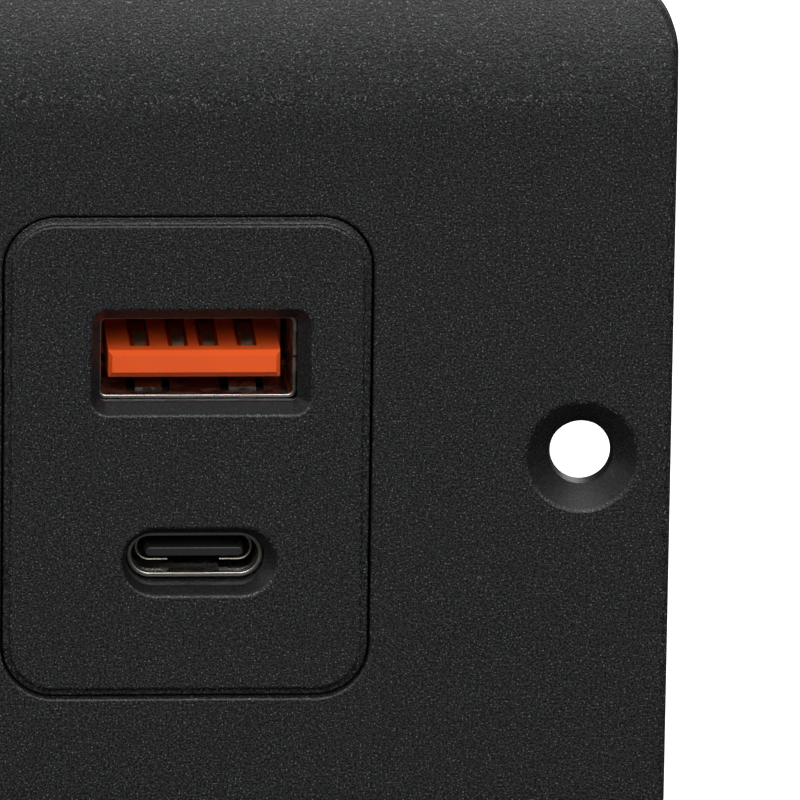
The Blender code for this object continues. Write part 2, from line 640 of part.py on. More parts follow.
def make_a_tongue(front, back):
    """The insulator: a chamfered tongue, low in the shell, on a root that fills the shell's rear."""
    width, thick = A_TONGUE
    side, top = A_CHAMFER
    floor = -A_INNER[1] / 2 + A_TONGUE_LIFT
    full = rectangle((-width / 2, floor), (width / 2, floor + thick))
    nose = rectangle((side - width / 2, floor + top / 2), (width / 2 - side, floor + thick - top))
    root_front = front + A_TONGUE_LENGTH
    sections = [(nose, front), (full, front + top), (full, root_front + 2 * GAP)]
    tongue = lofted("usb_a_tongue", sections, A_TONGUE_PLACE)
    filled = rounded(A_INNER[0] - 2 * GAP, A_INNER[1] - 2 * GAP, A_CORNER)
    add(tongue, slab("root", filled, root_front, back, A_PLACE))
    slot_floor = A_PLACE[1] + floor + thick - A_SLOT_DEPTH
    for x in A_CONTACT_PLACES:
        middle = A_TONGUE_PLACE[0] + x
        low = (middle - A_SLOT_WIDTH / 2, front + A_SLOT_START, slot_floor)
        high = (middle + A_SLOT_WIDTH / 2, 2 * back, slot_floor + 2 * A_SLOT_DEPTH)
        cut(tongue, block("contact_slot", low, high))
    dress(tongue, ORANGE_PLASTIC)
    for number, x in enumerate(A_CONTACT_PLACES, 1):
        start = front + A_SLOT_START + GAP
        make_contact(f"usb_a_contact_{number}", A_TONGUE_PLACE[0] + x, start, slot_floor, back)


def make_contact(name, x, front, floor, back):
    """A spring contact: a strip in its slot with a bow that stands out of it near the front."""
    bow = [A_BOW_START, *A_BOW_CREST, A_BOW_END]
    line = [(front + depth, floor + lift) for depth, lift in bow]
    line.append((back, line[-1][1]))
    upper = [(y, z + A_CONTACT_THICKNESS) for y, z in reversed(line)]
    half = A_CONTACT_WIDTH / 2
    contact = extruded(name, [*line, *upper], -half, half, (x, 0.0, 0.0), FACING_END)
    dress(contact, BRASS)


def make_usb_c():
    front = PLATE_FRONT + C_SUNK
    back = BOARD_DEPTH - GAP
    inner = (C_OUTER[0] - 2 * C_WALL, C_OUTER[1] - 2 * C_WALL)
    facets = 2 * CORNER_FACETS
    shell = slab("usb_c_shell", stadium(*C_OUTER, facets), front, back, C_PLACE)
    cut(shell, slab("hollow", stadium(*inner, facets), front - C_SUNK, back + C_SUNK, C_PLACE))
    dress(shell, STEEL)
    tip = front + C_TONGUE_SUNK
    root = tip + C_TONGUE_LENGTH
    outline = rounded(*C_TONGUE, C_TONGUE_CORNER, SMALL_CORNER_FACETS)
    tongue = slab("usb_c_tongue", outline, tip, back - GAP, C_PLACE)
    thicker = rounded(C_TONGUE[0], C_ROOT_HEIGHT, C_TONGUE_CORNER, SMALL_CORNER_FACETS)
    add(tongue, slab("root", thicker, root, back - 2 * GAP, C_PLACE))
    inside = (inner[0] - 2 * GAP, inner[1] - 2 * GAP)
    base = stadium(*inside, CORNER_FACETS)
    add(tongue, slab("base", base, back - C_BASE_THICKNESS, back - GAP / 2, C_PLACE))
    dress(tongue, DARK_PLASTIC)
    make_ground_plate(inside, front + C_GROUND_SUNK)


def make_ground_plate(size, front):
    """The notched metal collar that lines the shell round the tongue."""
    back = front + C_GROUND_LENGTH
    hole = (size[0] - 2 * C_GROUND_WALL, size[1] - 2 * C_GROUND_WALL)
    facets = 2 * CORNER_FACETS
    collar = slab("usb_c_ground_plate", stadium(*size, facets), front, back, C_PLACE)
    cut(collar, slab("bore", stadium(*hole, facets), front - GAP, back + GAP, C_PLACE))
    half, deep = C_GROUND_NOTCH[0] / 2, C_GROUND_NOTCH[1]
    low = (C_PLACE[0] - half, front - GAP, C_PLACE[1] - size[1])
    cut(collar, block("notch", low, (C_PLACE[0] + half, front + deep, C_PLACE[1] + size[1])))
    dress(collar, STEEL)


# USB board and its case


def make_board():
    outline = rounded(*BOARD_SIZE, INSERT_CORNER - CASE_WALL)
    board = slab("usb_board", outline, BOARD_DEPTH, BOARD_BACK, (USB_PLACE, 0.0))
    for place in board_posts():
        cut(board, rod("screw_way", SMALL_SHANK + GAP, 0.0, 2 * BOARD_BACK, place, POST_FACETS))
    dress(board, GREEN_BOARD)
    for number, place in enumerate(board_posts(), 1):
        name = f"board_screw_{number}"
        make_screw(name, place, BOARD_BACK + GAP, BOARD_SCREW_LENGTH, SMALL_SCREW)
    left = USB_PLACE - CASE_INSIDE[0] / 2
    floor = -CASE_INSIDE[1] / 2
    make_transformer((-left + 2 * USB_PLACE - CORE_INSET[0], -floor - CORE_INSET[1]))
    input_x = left + INPUT_INSET[0] + INPUT_CAPACITOR[0]
    output_x = input_x + INPUT_CAPACITOR[0] + OUTPUT_INSET[0] + OUTPUT_CAPACITOR[0]
    input_place = (input_x, floor + INPUT_INSET[1] + INPUT_CAPACITOR[0])
    output_place = (output_x, floor + OUTPUT_INSET[1] + OUTPUT_CAPACITOR[0])
    make_can("input_capacitor", INPUT_CAPACITOR, input_place, CAN_SLEEVE)
    make_can("output_capacitor", OUTPUT_CAPACITOR, output_place, CAN_SLEEVE)
    make_can("fuse", FUSE, (USB_PLACE + FUSE_PLACE[0], FUSE_PLACE[1]), DARK_PLASTIC)
    foot = BOARD_BACK + GAP
    low = (left + CHIP_INSET, foot, CHIP_PLACE - CHIP_SIZE / 2)
    high = (low[0] + CHIP_SIZE, foot + CHIP_HEIGHT, low[2] + CHIP_SIZE)
    dress(bevel(block("controller_chip", low, high), CHIP_EDGE), DARK_PLASTIC)


def make_can(name, size, place, material):
    """A round component with a crimped groove near its foot and a softened top."""
    radius, height = size
    foot = BOARD_BACK + GAP
    top = foot + height
    groove = CAN_GROOVE * radius
    profile = [(0.0, foot), (radius, foot), (radius, foot + 2 * groove)]
    profile += [(radius - groove, foot + 3 * groove), (radius, foot + 4 * groove)]
    profile += [(radius, top - groove), (radius - groove, top), (0.0, top)]
    dress(turned(name, profile, place), material)


def make_transformer(corner):
    """A ferrite frame round the middle of a taped winding, by its top right corner."""
    place = (corner[0] - CORE_SIZE[0] / 2, corner[1] - CORE_SIZE[1] / 2)
    foot = BOARD_BACK + GAP
    frame = rounded(*CORE_SIZE, CORE_CORNER, SMALL_CORNER_FACETS)
    inside = (CORE_SIZE[0] - 2 * CORE_LIMB, CORE_SIZE[1] - 2 * CORE_LIMB)
    window = rounded(*inside, CORE_CORNER, SMALL_CORNER_FACETS)
    low = foot + (WINDING_DEPTH - CORE_DEPTH) / 2
    high = low + CORE_DEPTH
    core = slab("transformer_core", frame, low, high, place)
    cut(core, slab("window", window, low - CORE_DEPTH, high + CORE_DEPTH, place))
    dress(core, FERRITE)
    wound = rounded(inside[0] - 2 * GAP, inside[1] - 2 * GAP, CORE_CORNER)
    winding = slab("transformer_winding", wound, foot, foot + WINDING_DEPTH, place)
    dress(bevel(winding, WINDING_EDGE), YELLOW_TAPE)


def make_case():
    """The insulating box behind the USB insert, with two windows for the leads."""
    place = (USB_PLACE, 0.0)
    outer = rounded(USB_WIDTH, INSERT_HEIGHT, INSERT_CORNER)
    case = slab("usb_case", outer, CASE_FRONT, CASE_BACK, place)
    hollow = rounded(*CASE_INSIDE, INSERT_CORNER - CASE_WALL)
    cut(case, slab("hollow", hollow, 0.0, CASE_BACK - CASE_WALL, place))
    wall = USB_PLACE - USB_WIDTH / 2
    half = LEAD_RADIUS + GAP
    for height in (LIVE_LEAD_HEIGHT, NEUTRAL_LEAD_HEIGHT):
        low = (wall - CASE_WALL, LEAD_DEPTH - half, height - half)
        high = (wall + 2 * CASE_WALL, LEAD_DEPTH + half, height + half)
        cut(case, block("lead_window", low, high))
    dress(case, GREY_PLASTIC)


def make_lead(name, start, end, material):
    """A short insulated wire that eases from one place to another along X."""
    curve = bpy.data.curves.new(name, "CURVE")
    curve.dimensions = "3D"
    curve.bevel_depth = LEAD_RADIUS
    curve.bevel_resolution = 2
    curve.use_fill_caps = True
    spline = curve.splines.new("POLY")
    spline.points.add(LEAD_POINTS - 1)
    for i, point in enumerate(spline.points):
        share = i / (LEAD_POINTS - 1)
        eased = (1 - cos(pi * min(share / (1 - LEAD_STRAIGHT), 1.0))) / 2
        y = start[1] + (end[1] - start[1]) * eased
        z = start[2] + (end[2] - start[2]) * eased
        point.co = (start[0] + (end[0] - start[0]) * share, y, z, 1.0)
    lead = bpy.data.objects.new(name, curve)
    PARTS.objects.link(lead)
    dress(lead, material)


def make_leads():
    start = bar_ends()[1] + GAP
    end = USB_PLACE - CASE_INSIDE[0] / 2 + LEAD_INSIDE
    live = (start, LIVE_BAR_FRONT + LEAD_RADIUS, BAR_LIFT)
    neutral = (start, NEUTRAL_BAR_FRONT + LEAD_RADIUS, -NEUTRAL_BAR_DROP)
    make_lead("live_lead", live, (end, LEAD_DEPTH, LIVE_LEAD_HEIGHT), RED_SLEEVE)
    make_lead("neutral_lead", neutral, (end, LEAD_DEPTH, NEUTRAL_LEAD_HEIGHT), WHITE_SLEEVE)


# Safety shutters


def shutter_span():
    """The shutter's two ends at rest, from its outlet's middle."""
    left = -BLADE_PITCH / 2 - LIVE_SLOT[0] / 2 - SHUTTER_LAND
    right = BLADE_PITCH / 2 + SHUTTER_TRAVEL + WINDOW_WIDTH / 2 + SHUTTER_LAND
    return left, right


def make_shutter(name, x):
    """A slide with a ramp behind each slot, beside the window that it brings in line with it."""
    left, right = shutter_span()
    half_slot = LIVE_SLOT[0] / 2
    half_window = WINDOW_WIDTH / 2
    back = -SHUTTER_THICKNESS
    face = [(left, 0.0)]
    windows = [slot + SHUTTER_TRAVEL for slot in (-BLADE_PITCH / 2, BLADE_PITCH / 2)]
    for middle in windows:
        ramp = middle - SHUTTER_TRAVEL - half_slot
        face += [(ramp, 0.0), (middle - half_window, -RAMP_DEPTH), (middle + half_window, 0.0)]
    outline = [(left, back), (right, back), (right, 0.0), *reversed(face)]
    half = SHUTTER_HEIGHT / 2
    front = PLATE_FRONT + OUTLET_FACE + GAP
    facing = Matrix.Diagonal((1, -1, -1, 1))
    shutter = extruded(name, outline, -half, half, (x, front, BLADE_HEIGHT), facing)
    tall = NEUTRAL_SLOT[1] / 2 + GAP
    for middle in windows:
        low = (x + middle - half_window, 2 * PLATE_FRONT, BLADE_HEIGHT - tall)
        high = (x + middle + half_window, 2 * SKIRT_DEPTH, BLADE_HEIGHT + tall)
        cut(shutter, block("window", low, high))
    dress(shutter, GREY_PLASTIC)


def make_spring(name, x):
    """A compression spring between the insert's side wall and the shutter's left end."""
    start = -OUTLET_CAVITY + GAP + SPRING_WIRE
    end = shutter_span()[0] - GAP - SPRING_WIRE
    count = SPRING_TURNS * SPRING_FACETS + 1
    curve = bpy.data.curves.new(name, "CURVE")
    curve.dimensions = "3D"
    curve.bevel_depth = SPRING_WIRE
    curve.bevel_resolution = 1
    curve.use_fill_caps = True
    spline = curve.splines.new("POLY")
    spline.points.add(count - 1)
    for i, point in enumerate(spline.points):
        turn = 2 * pi * i / SPRING_FACETS
        along = start + (end - start) * i / (count - 1)
        point.co = (along, SPRING_RADIUS * cos(turn), SPRING_RADIUS * sin(turn), 1.0)
    coil = bpy.data.objects.new(name, curve)
    coil.location = (x, PLATE_FRONT + OUTLET_FACE + GAP + SHUTTER_THICKNESS / 2, BLADE_HEIGHT)
    PARTS.objects.link(coil)
    dress(coil, STEEL)


# Mains contacts


def leaf_pocket(name, place, clear, height):
    """Cutter round a pair of contact leaves."""
    half = clear / 2 + LEAF_THICKNESS + GAP
    tall = height / 2 + GAP
    low = (place[0] - half, 0.0, place[1] - tall)
    return block(name, low, (place[0] + half, 2 * CARRIER_BACK, place[1] + tall))


def carrier_span():
    reach = OUTLET_WIDTH / 2 - GAP
    return OUTLET_PLACES[0] - reach, OUTLET_PLACES[-1] + reach


def bar_ends():
    reach = BLADE_PITCH / 2 + BAR_TAIL
    return OUTLET_PLACES[0] - reach, OUTLET_PLACES[-1] + reach


def terminals():
    """Each bar's terminal screw, halfway between two outlets, and the bar's front face."""
    x = OUTLET_PLACES[0] + (OUTLET_WIDTH + INSERT_SPACE) / 2
    return {
        "live": ((x, BAR_LIFT), LIVE_BAR_FRONT),
        "neutral": ((x, -NEUTRAL_BAR_DROP), NEUTRAL_BAR_FRONT),
        "earth": ((x, -EARTH_BAR_DROP), LIVE_BAR_FRONT),
    }


def make_carrier():
    """The moulding behind the outlets that holds the brass in place."""
    left, right = carrier_span()
    half = INSERT_HEIGHT / 2 - GAP
    carrier = block("contact_carrier", (left, CARRIER_FRONT, -half), (right, CARRIER_BACK, half))
    bevel(carrier, CARRIER_EDGE)
    for x in OUTLET_PLACES:
        for place, _ in blade_places(x):
            cut(carrier, leaf_pocket("blade_pocket", place, BLADE_GRIP, LEAF_HEIGHT))
        earth = (x, EARTH_HEIGHT)
        cut(carrier, leaf_pocket("earth_pocket", earth, EARTH_GRIP, EARTH_LEAF_HEIGHT))
        for place in post_places(x):
            cut(carrier, sunk_way(SMALL_SHANK, SMALL_HEAD, CARRIER_SCREW_SEAT, place))
    for place, _ in terminals().values():
        way = (CARRIER_BACK / 2, 2 * CARRIER_BACK, place, SMALL_BORE_FACETS)
        cut(carrier, rod("terminal_way", SMALL_SHANK + GAP, *way))
    dress(carrier, GREY_PLASTIC)
    places = [place for x in OUTLET_PLACES for place in post_places(x)]
    length = CARRIER_SCREW_SEAT - PLATE_FRONT - OUTLET_FACE - GAP
    for number, place in enumerate(places, 1):
        make_screw(f"carrier_screw_{number}", place, CARRIER_SCREW_SEAT, length, SMALL_SCREW)


def make_bar(name, slot, height, plane):
    """A brass strip across the outlets, with a pair of gripping leaves behind one slot of each.

    slot holds the slot's place from its outlet's middle, the clear width and the leaves' height.
    """
    offset, clear, leaf_height = slot
    left, right = bar_ends()
    half = BAR_WIDTH / 2
    rear = plane + BAR_THICKNESS
    bar = block(name, (left, plane, height - half), (right, rear, height + half))
    outer = clear / 2 + LEAF_THICKNESS
    low = offset[1] - leaf_height / 2
    high = offset[1] + leaf_height / 2
    for outlet in OUTLET_PLACES:
        x = outlet + offset[0]
        tab_low = (x - outer - TAB_EDGE, plane + TAB_STEP, min(low - TAB_EDGE, height))
        tab_high = (x + outer + TAB_EDGE, rear - TAB_STEP, max(high + TAB_EDGE, height))
        add(bar, block("tab", tab_low, tab_high))
        for inside, outside in ((clear / 2, outer), (-outer, -clear / 2)):
            leaf = (x + inside, LEAF_FRONT, low), (x + outside, plane + BAR_THICKNESS / 2, high)
            add(bar, block("leaf", *leaf))
    return bar


def make_bars():
    half = BLADE_PITCH / 2
    live = ((half, BLADE_HEIGHT), BLADE_GRIP, LEAF_HEIGHT)
    neutral = ((-half, BLADE_HEIGHT), BLADE_GRIP, LEAF_HEIGHT)
    earth = ((0.0, EARTH_HEIGHT), EARTH_GRIP, EARTH_LEAF_HEIGHT)
    for name, slot in (("live", live), ("neutral", neutral), ("earth", earth)):
        place, plane = terminals()[name]
        bar = make_bar(f"{name}_bar", slot, place[1], plane)
        cut(bar, rod("terminal_hole", SMALL_SHANK + GAP, 0.0, 2 * CARRIER_BACK, place, POST_FACETS))
        dress(bar, BRASS)
        seat = plane + BAR_THICKNESS + GAP
        length = BAR_THICKNESS + TERMINAL_GRIP + seat - CARRIER_BACK
        make_screw(f"terminal_screw_{name}", place, seat, length, SMALL_SCREW)


def make_insulator():
    """The sheet between the neutral bar and the other two."""
    left, right = bar_ends()
    top = BAR_LIFT - max(BAR_WIDTH / 2, SMALL_HEAD) - GAP
    low = (left, INSULATOR_FRONT, EARTH_HEIGHT)
    high = (right, INSULATOR_FRONT + INSULATOR_THICKNESS, top)
    sheet = block("bar_insulator", low, high)
    for x in OUTLET_PLACES:
        place = blade_places(x)[1][0]
        cut(sheet, leaf_pocket("leaf_window", place, BLADE_GRIP, LEAF_HEIGHT))
    place = terminals()["neutral"][0]
    cut(sheet, rod("terminal_way", SMALL_SHANK + GAP, 0.0, 2 * CARRIER_BACK, place, POST_FACETS))
    dress(sheet, WHITE_PLASTIC)


# Screws


def make_screw(name, place, seat, length, size=1.0):
    """A pan head screw: its head bears at the depth seat and its shank runs towards the front."""
    head = HEAD_RADIUS * size
    shank = SCREW_RADIUS * size
    tall = HEAD_HEIGHT * size
    tip = seat - length
    profile = [(0.0, tip), (shank / 2, tip), (shank, tip + shank), (shank, seat), (head, seat)]
    profile += [(head, seat + tall / 2), (HEAD_TOP * head, seat + tall), (0.0, seat + tall)]
    screw = turned(name, profile, place, SCREW_FACETS)
    long, short = DRIVE_CROSS[0] * head, DRIVE_CROSS[1] * head
    for across, along in ((long, short), (short, long)):
        low = (place[0] - across, seat + tall / 3, place[1] - along)
        cut(screw, block("drive", low, (place[0] + across, seat + 2 * tall, place[1] + along)))
    dress(screw, STEEL)


# Rear housing and cord inlet


def make_housing():
    outer = rounded(HOUSING_WIDTH, HOUSING_HEIGHT, HOUSING_CORNER)
    inside = (HOUSING_WIDTH - 2 * HOUSING_WALL, HOUSING_HEIGHT - 2 * HOUSING_WALL)
    inner = rounded(*inside, HOUSING_CORNER - HOUSING_WALL / 2)
    housing = slab("rear_housing", outer, GAP, HOUSING_DEPTH)
    cut(housing, slab("inside", inner, -HOUSING_WALL, HOUSING_DEPTH - HOUSING_WALL))
    front = BOSS_HEIGHT + GAP
    well_floor = front + WELL_FLOOR
    back = HOUSING_DEPTH - HOUSING_WALL / 2
    for x, z in boss_places():
        add(housing, rod("column", COLUMN_RADIUS, front, back, (x, z)))
    for place in boss_places():
        cut(housing, sunk_way(SCREW_RADIUS, HEAD_RADIUS, well_floor + GAP, place))
    hole = rod("gland_hole", GLAND_BORE + GLAND_WALL + GAP, back - BOSS_HEIGHT, 2 * back, GLAND_PLACE)
    cut(housing, hole)
    dress(housing, BLACK_PLASTIC)
    for number, place in enumerate(boss_places(), 1):
        make_screw(f"housing_screw_{number}", place, well_floor + GAP, SCREW_LENGTH)


def make_gland():
    """The cord's inlet: a flanged bush through the rear wall, and the nut that holds it."""
    inner_wall = HOUSING_DEPTH - HOUSING_WALL
    nut_back = inner_wall - GAP
    nut_front = nut_back - NUT_THICKNESS
    outer = GLAND_BORE + GLAND_WALL
    flange_radius, flange_thickness = GLAND_FLANGE
    front = nut_front - GLAND_WALL
    seat = HOUSING_DEPTH + GAP
    back = seat + flange_thickness
    profile = [(outer, front), (outer, seat), (flange_radius, seat), (flange_radius, back - GLAND_EDGE)]
    profile += [(flange_radius - GLAND_EDGE, back), (GLAND_BORE, back), (GLAND_BORE, front)]
    dress(turned("cord_gland", profile, GLAND_PLACE, WIDE_FACETS, ring=True), DARK_PLASTIC)
    flats = NUT_ACROSS / 2 / cos(pi / 6)
    hexagon = arc((0.0, 0.0), flats, 0.0, 2 * pi, 6)[:-1]
    nut = slab("gland_nut", hexagon, nut_front, nut_back, GLAND_PLACE)
    thread = (nut_front - NUT_THICKNESS, HOUSING_DEPTH, GLAND_PLACE, WIDE_FACETS)
    cut(nut, rod("thread", outer + GAP, *thread))
    dress(nut, DARK_PLASTIC)


make_faceplate()
make_usb_insert()
make_usb_a()
make_usb_c()
make_board()
make_case()
for number, outlet in enumerate(OUTLET_PLACES, 1):
    make_outlet_insert(f"outlet_insert_{number}", outlet)
    make_shutter(f"safety_shutter_{number}", outlet)
    make_spring(f"shutter_spring_{number}", outlet)
make_carrier()
make_bars()
make_insulator()
make_leads()
make_housing()
make_gland()
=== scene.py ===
"""Finished look of a recessed furniture power strip: detailed pieces, finishes, studio and camera.

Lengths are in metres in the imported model's frame. The faceplate looks along -Y and +Z is up.
"""

from math import asin, cos, pi, radians, sin, sqrt

import bmesh
import bpy
from mathutils import Matrix, Vector


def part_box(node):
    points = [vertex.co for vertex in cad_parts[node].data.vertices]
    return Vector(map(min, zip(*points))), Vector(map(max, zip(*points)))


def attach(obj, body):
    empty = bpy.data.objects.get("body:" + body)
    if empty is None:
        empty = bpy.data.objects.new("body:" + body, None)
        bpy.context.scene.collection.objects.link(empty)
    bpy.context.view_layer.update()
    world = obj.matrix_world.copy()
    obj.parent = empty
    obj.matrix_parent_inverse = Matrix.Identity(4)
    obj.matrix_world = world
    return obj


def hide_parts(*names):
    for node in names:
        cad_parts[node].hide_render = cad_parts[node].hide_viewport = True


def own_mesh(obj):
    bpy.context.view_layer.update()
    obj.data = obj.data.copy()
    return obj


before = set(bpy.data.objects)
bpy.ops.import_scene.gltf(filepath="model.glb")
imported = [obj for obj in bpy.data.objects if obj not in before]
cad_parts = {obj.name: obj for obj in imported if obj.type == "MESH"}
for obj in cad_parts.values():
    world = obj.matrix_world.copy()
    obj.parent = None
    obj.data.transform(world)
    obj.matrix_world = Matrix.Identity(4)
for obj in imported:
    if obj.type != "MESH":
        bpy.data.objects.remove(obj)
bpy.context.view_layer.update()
mm = 0.001

# Camera
CAMERA_AZIMUTH = radians(-3.88)
CAMERA_ELEVATION = radians(15.9)
CAMERA_ROLL = radians(0.84)
CAMERA_DISTANCE = 850 * mm
CAMERA_LENS = 587.0
CAMERA_AIM = (13.86 * mm, 3.92 * mm)  # right of the USB insert's middle and above the plate's

# Faceplate
ROLL_WIDTH = 9.7 * mm
ROLL_DROP = 1.6 * mm
EDGE_FILLET = 0.6 * mm
PLATE_CORNER = 5.0 * mm
OPENING_FILLET = 0.2 * mm
PANEL_GAP = 0.15 * mm
SINK_RADIUS = 3.75 * mm
SINK_FLOOR = 2.12 * mm
SINK_DEPTH = 1.2 * mm
HOLE_RADIUS = 1.97 * mm
HOLE_WALL = 2.0 * mm
RELIEF_RADIUS = 3.0 * mm
HOLE_INSET = 5.87 * mm
HOLE_EASE = 0.12 * mm
BOSS_RADIUS = 3.0 * mm
BOSS_PLACE = 44.0 * mm
BOSS_OFFSET = 20.7 * mm
PILOT_RADIUS = 1.8 * mm

# Inserts
FLANGE_WIDTH = 1.2 * mm
FLANGE_FRONT = 0.3 * mm
FLANGE_BACK = 1.5 * mm
INSERT_CORNER = 3.4 * mm
RIM_WIDTH = 0.45 * mm
RIM_DEPTH = 0.35 * mm
RIM_FILLET = 0.12 * mm
PANEL_FILLET = 0.2 * mm
INSERT_WALL = 2.0 * mm
OUTLET_FACE = 2.5 * mm
USB_INSERT_BACK = 1.8 * mm
POST_RADIUS = 2.0 * mm
POST_PILOT = 1.2 * mm
POST_INSET = 2.3 * mm
BOARD_WALL = 1.2 * mm  # the USB case's wall, beside the board's posts
CLEARANCE = 0.3 * mm
RAIL_WIDTH = 1.2 * mm

# Sockets
MOUTH_SHIFT = 0.24 * mm
MOUTH_DEPTH = 0.8 * mm
MOUTH_FILLET = 0.16 * mm
A_OPENING = (12.9 * mm, 5.63 * mm)
A_OPENING_SHIFT = 0.1 * mm
A_BEVEL = 0.75 * mm
A_CORNER = 0.35 * mm
C_OPENING = (9.1 * mm, 3.55 * mm)
C_BEVEL = 0.55 * mm
SHEET = 0.3 * mm
LIP = 0.08 * mm

# Outlets
BLADE_PITCH = 12.7 * mm
BLADE_HEIGHT = 4.3 * mm
EARTH_HEIGHT = -7.6 * mm
LIVE_SLOT = (2.2 * mm, 7.0 * mm)
NEUTRAL_SLOT = (2.2 * mm, 8.4 * mm)
SLOT_CORNER = 0.3 * mm
SLOT_BEVEL = 0.45 * mm
SLOT_EASE = 0.1 * mm
EARTH_RADIUS = 2.55 * mm
EARTH_FLAT = 1.5 * mm

# Socket pieces
A_INNER = (12.5 * mm, 5.12 * mm)
A_TONGUE = (11.26 * mm, 1.84 * mm)
A_TONGUE_LIFT = 1.0 * mm
A_TONGUE_LENGTH = 8.6 * mm
A_CHAMFER = (0.5 * mm, 0.33 * mm, 0.34 * mm)  # bottom, top and sides of the tongue's nose
A_CHAMFER_DEPTH = 0.4 * mm
TONGUE_EASE = 0.08 * mm
A_SLOT_WIDTH = 1.3 * mm
A_SLOT_DEPTH = 0.55 * mm
SLOT_END_EASE = 0.12 * mm
CONTACT_SHEET = 0.2 * mm
CONTACT_BOW = (  # depth behind a contact's front and height over its slot's floor, in millimetres
    (0.0, 0.2), (0.35, 0.5), (0.75, 0.68), (1.15, 0.77), (1.7, 0.75), (2.6, 0.5), (3.6, 0.26), (4.6, 0.22)
)
STRIP_EASE = 0.25
SEAM_WIDTH = 0.14 * mm
FINGER_PLACE = 3.07 * mm
FINGER_WIDTH = 1.77 * mm
FINGER_SLOT = 0.55 * mm
FINGER_START = 0.9 * mm
FINGER_END = 6.0 * mm
FINGER_BOW = 0.25 * mm
FINGER_SHEET = 0.24 * mm
C_TONGUE = (6.5 * mm, 0.7 * mm)
C_TONGUE_LENGTH = 4.5 * mm
C_ROOT_HEIGHT = 1.3 * mm
C_BASE = 3.0 * mm
C_PADS = 12
C_PAD_PITCH = 0.5 * mm
GROUND_SHEET = 0.2 * mm
GROUND_NOTCH = (3.4 * mm, 1.2 * mm)

# Springs, screws, housing and cord inlet
SPRING_WIRE = 0.18 * mm
SPRING_TURNS = 5
SPRING_STEPS = 24
SPRING_SIDES = 10
HEAD_RADIUS = 2.7 * mm
HEAD_HEIGHT = 2.1 * mm
SHANK_RADIUS = 1.5 * mm
THREAD_CORE = 0.72  # against the thread's crest
THREAD_PITCH = 0.42  # against the thread's diameter
THREAD_FACETS = 20
THREAD_STEPS = 8  # sections to each turn
DRIVE_REACH = 0.58  # the cross drive against the head's radius
DRIVE_WIDTH = 0.14
HOUSING_WALL = 2.0 * mm
HOUSING_CORNER = 3.0 * mm
HOUSING_EASE = 1.2 * mm
GLAND_RADIUS = 5.7 * mm
GLAND_BORE = 4.0 * mm
GLAND_FLUTES = 24
GLAND_FLUTE = 0.35 * mm
GLAND_EASE = 0.5 * mm
NUT_EASE = 0.4 * mm

# Studio
FLOOR_SIZE = 12.0
WORLD_STRENGTH = 0.46
UNDER_LIGHT = 0.12  # the surround's light below the horizon against that overhead
KEY_WATTS = 15.5
SIDE_WATTS = 3.0
BACK_WATTS = 12.0
FLOOR_GLOW = 0.75
KEY_PLACE = (0.1, -1.1, 0.85)
SIDE_PLACE = (-1.3, -0.6, 0.5)
BACK_PLACE = (0.5, 1.2, 0.9)

# Facets
CORNER_FACETS = 16
FILLET_FACETS = 5
TURN_FACETS = 96
ROUND_FACETS = 48
POST_FACETS = 32
SMOOTH_ANGLE = radians(32)
RECESS_START = 0.12 * mm
HAIR = 0.002 * mm  # keeps a cutter off the plane that it starts from

plate_low, plate_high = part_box("faceplate")
usb_low, usb_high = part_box("usb_insert")
housing_low, housing_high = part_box("rear_housing")
PLATE_FRONT = plate_low.y
PLATE_HALF = (plate_high.x, plate_high.z)
USB_PLACE = (usb_low.x + usb_high.x) / 2


def middle_of(node):
    """A node's middle in X and Z."""
    low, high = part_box(node)
    return (low.x + high.x) / 2, (low.z + high.z) / 2


def insert_size(node):
    """Width and height of an insert's face, without its flange."""
    low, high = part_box(node)
    return high.x - low.x - 2 * FLANGE_WIDTH, high.z - low.z - 2 * FLANGE_WIDTH


A_PLACE = middle_of("usb_a_shell")
C_PLACE = middle_of("usb_c_shell")


# Shapes


def arc(middle, radius, start, end, facets):
    steps = [start + (end - start) * i / facets for i in range(facets + 1)]
    return [(middle[0] + radius * cos(a), middle[1] + radius * sin(a)) for a in steps]


def rounded(size, radius, grow=0.0, facets=CORNER_FACETS, shift=0.0):
    """A rectangle's outline with round corners, grown on every side."""
    radius = max(radius + grow, HAIR)
    x = size[0] / 2 + grow - radius
    z = size[1] / 2 + grow - radius
    corners = [((x, -z), -pi / 2), ((x, z), 0.0), ((-x, z), pi / 2), ((-x, -z), pi)]
    outline = [p for middle, start in corners for p in arc(middle, radius, start, start + pi / 2, facets)]
    return [(u + shift, v) for u, v in outline]


def stadium(size, grow=0.0, shift=0.0):
    return rounded(size, size[1] / 2 - HAIR, grow, CORNER_FACETS, shift)


def circle(radius, facets=TURN_FACETS):
    return [(radius * cos(2 * pi * i / facets), radius * sin(2 * pi * i / facets)) for i in range(facets)]


def eased_edge(radius, depth, turn=1, steps=FILLET_FACETS):
    """(inset, depth) pairs of a quarter round, from a face into the side wall behind it."""
    angles = [pi / 2 * i / steps for i in range(steps + 1)]
    return [(radius * (1 - sin(a)), depth + turn * radius * (1 - cos(a))) for a in angles]


def new_piece(name, mesh):
    made = bpy.data.objects.new(name, mesh)
    bpy.context.scene.collection.objects.link(made)
    return made


def from_shape(name, shape):
    bmesh.ops.recalc_face_normals(shape, faces=shape.faces)
    mesh = bpy.data.meshes.new(name)
    shape.to_mesh(mesh)
    shape.free()
    return new_piece(name, mesh)


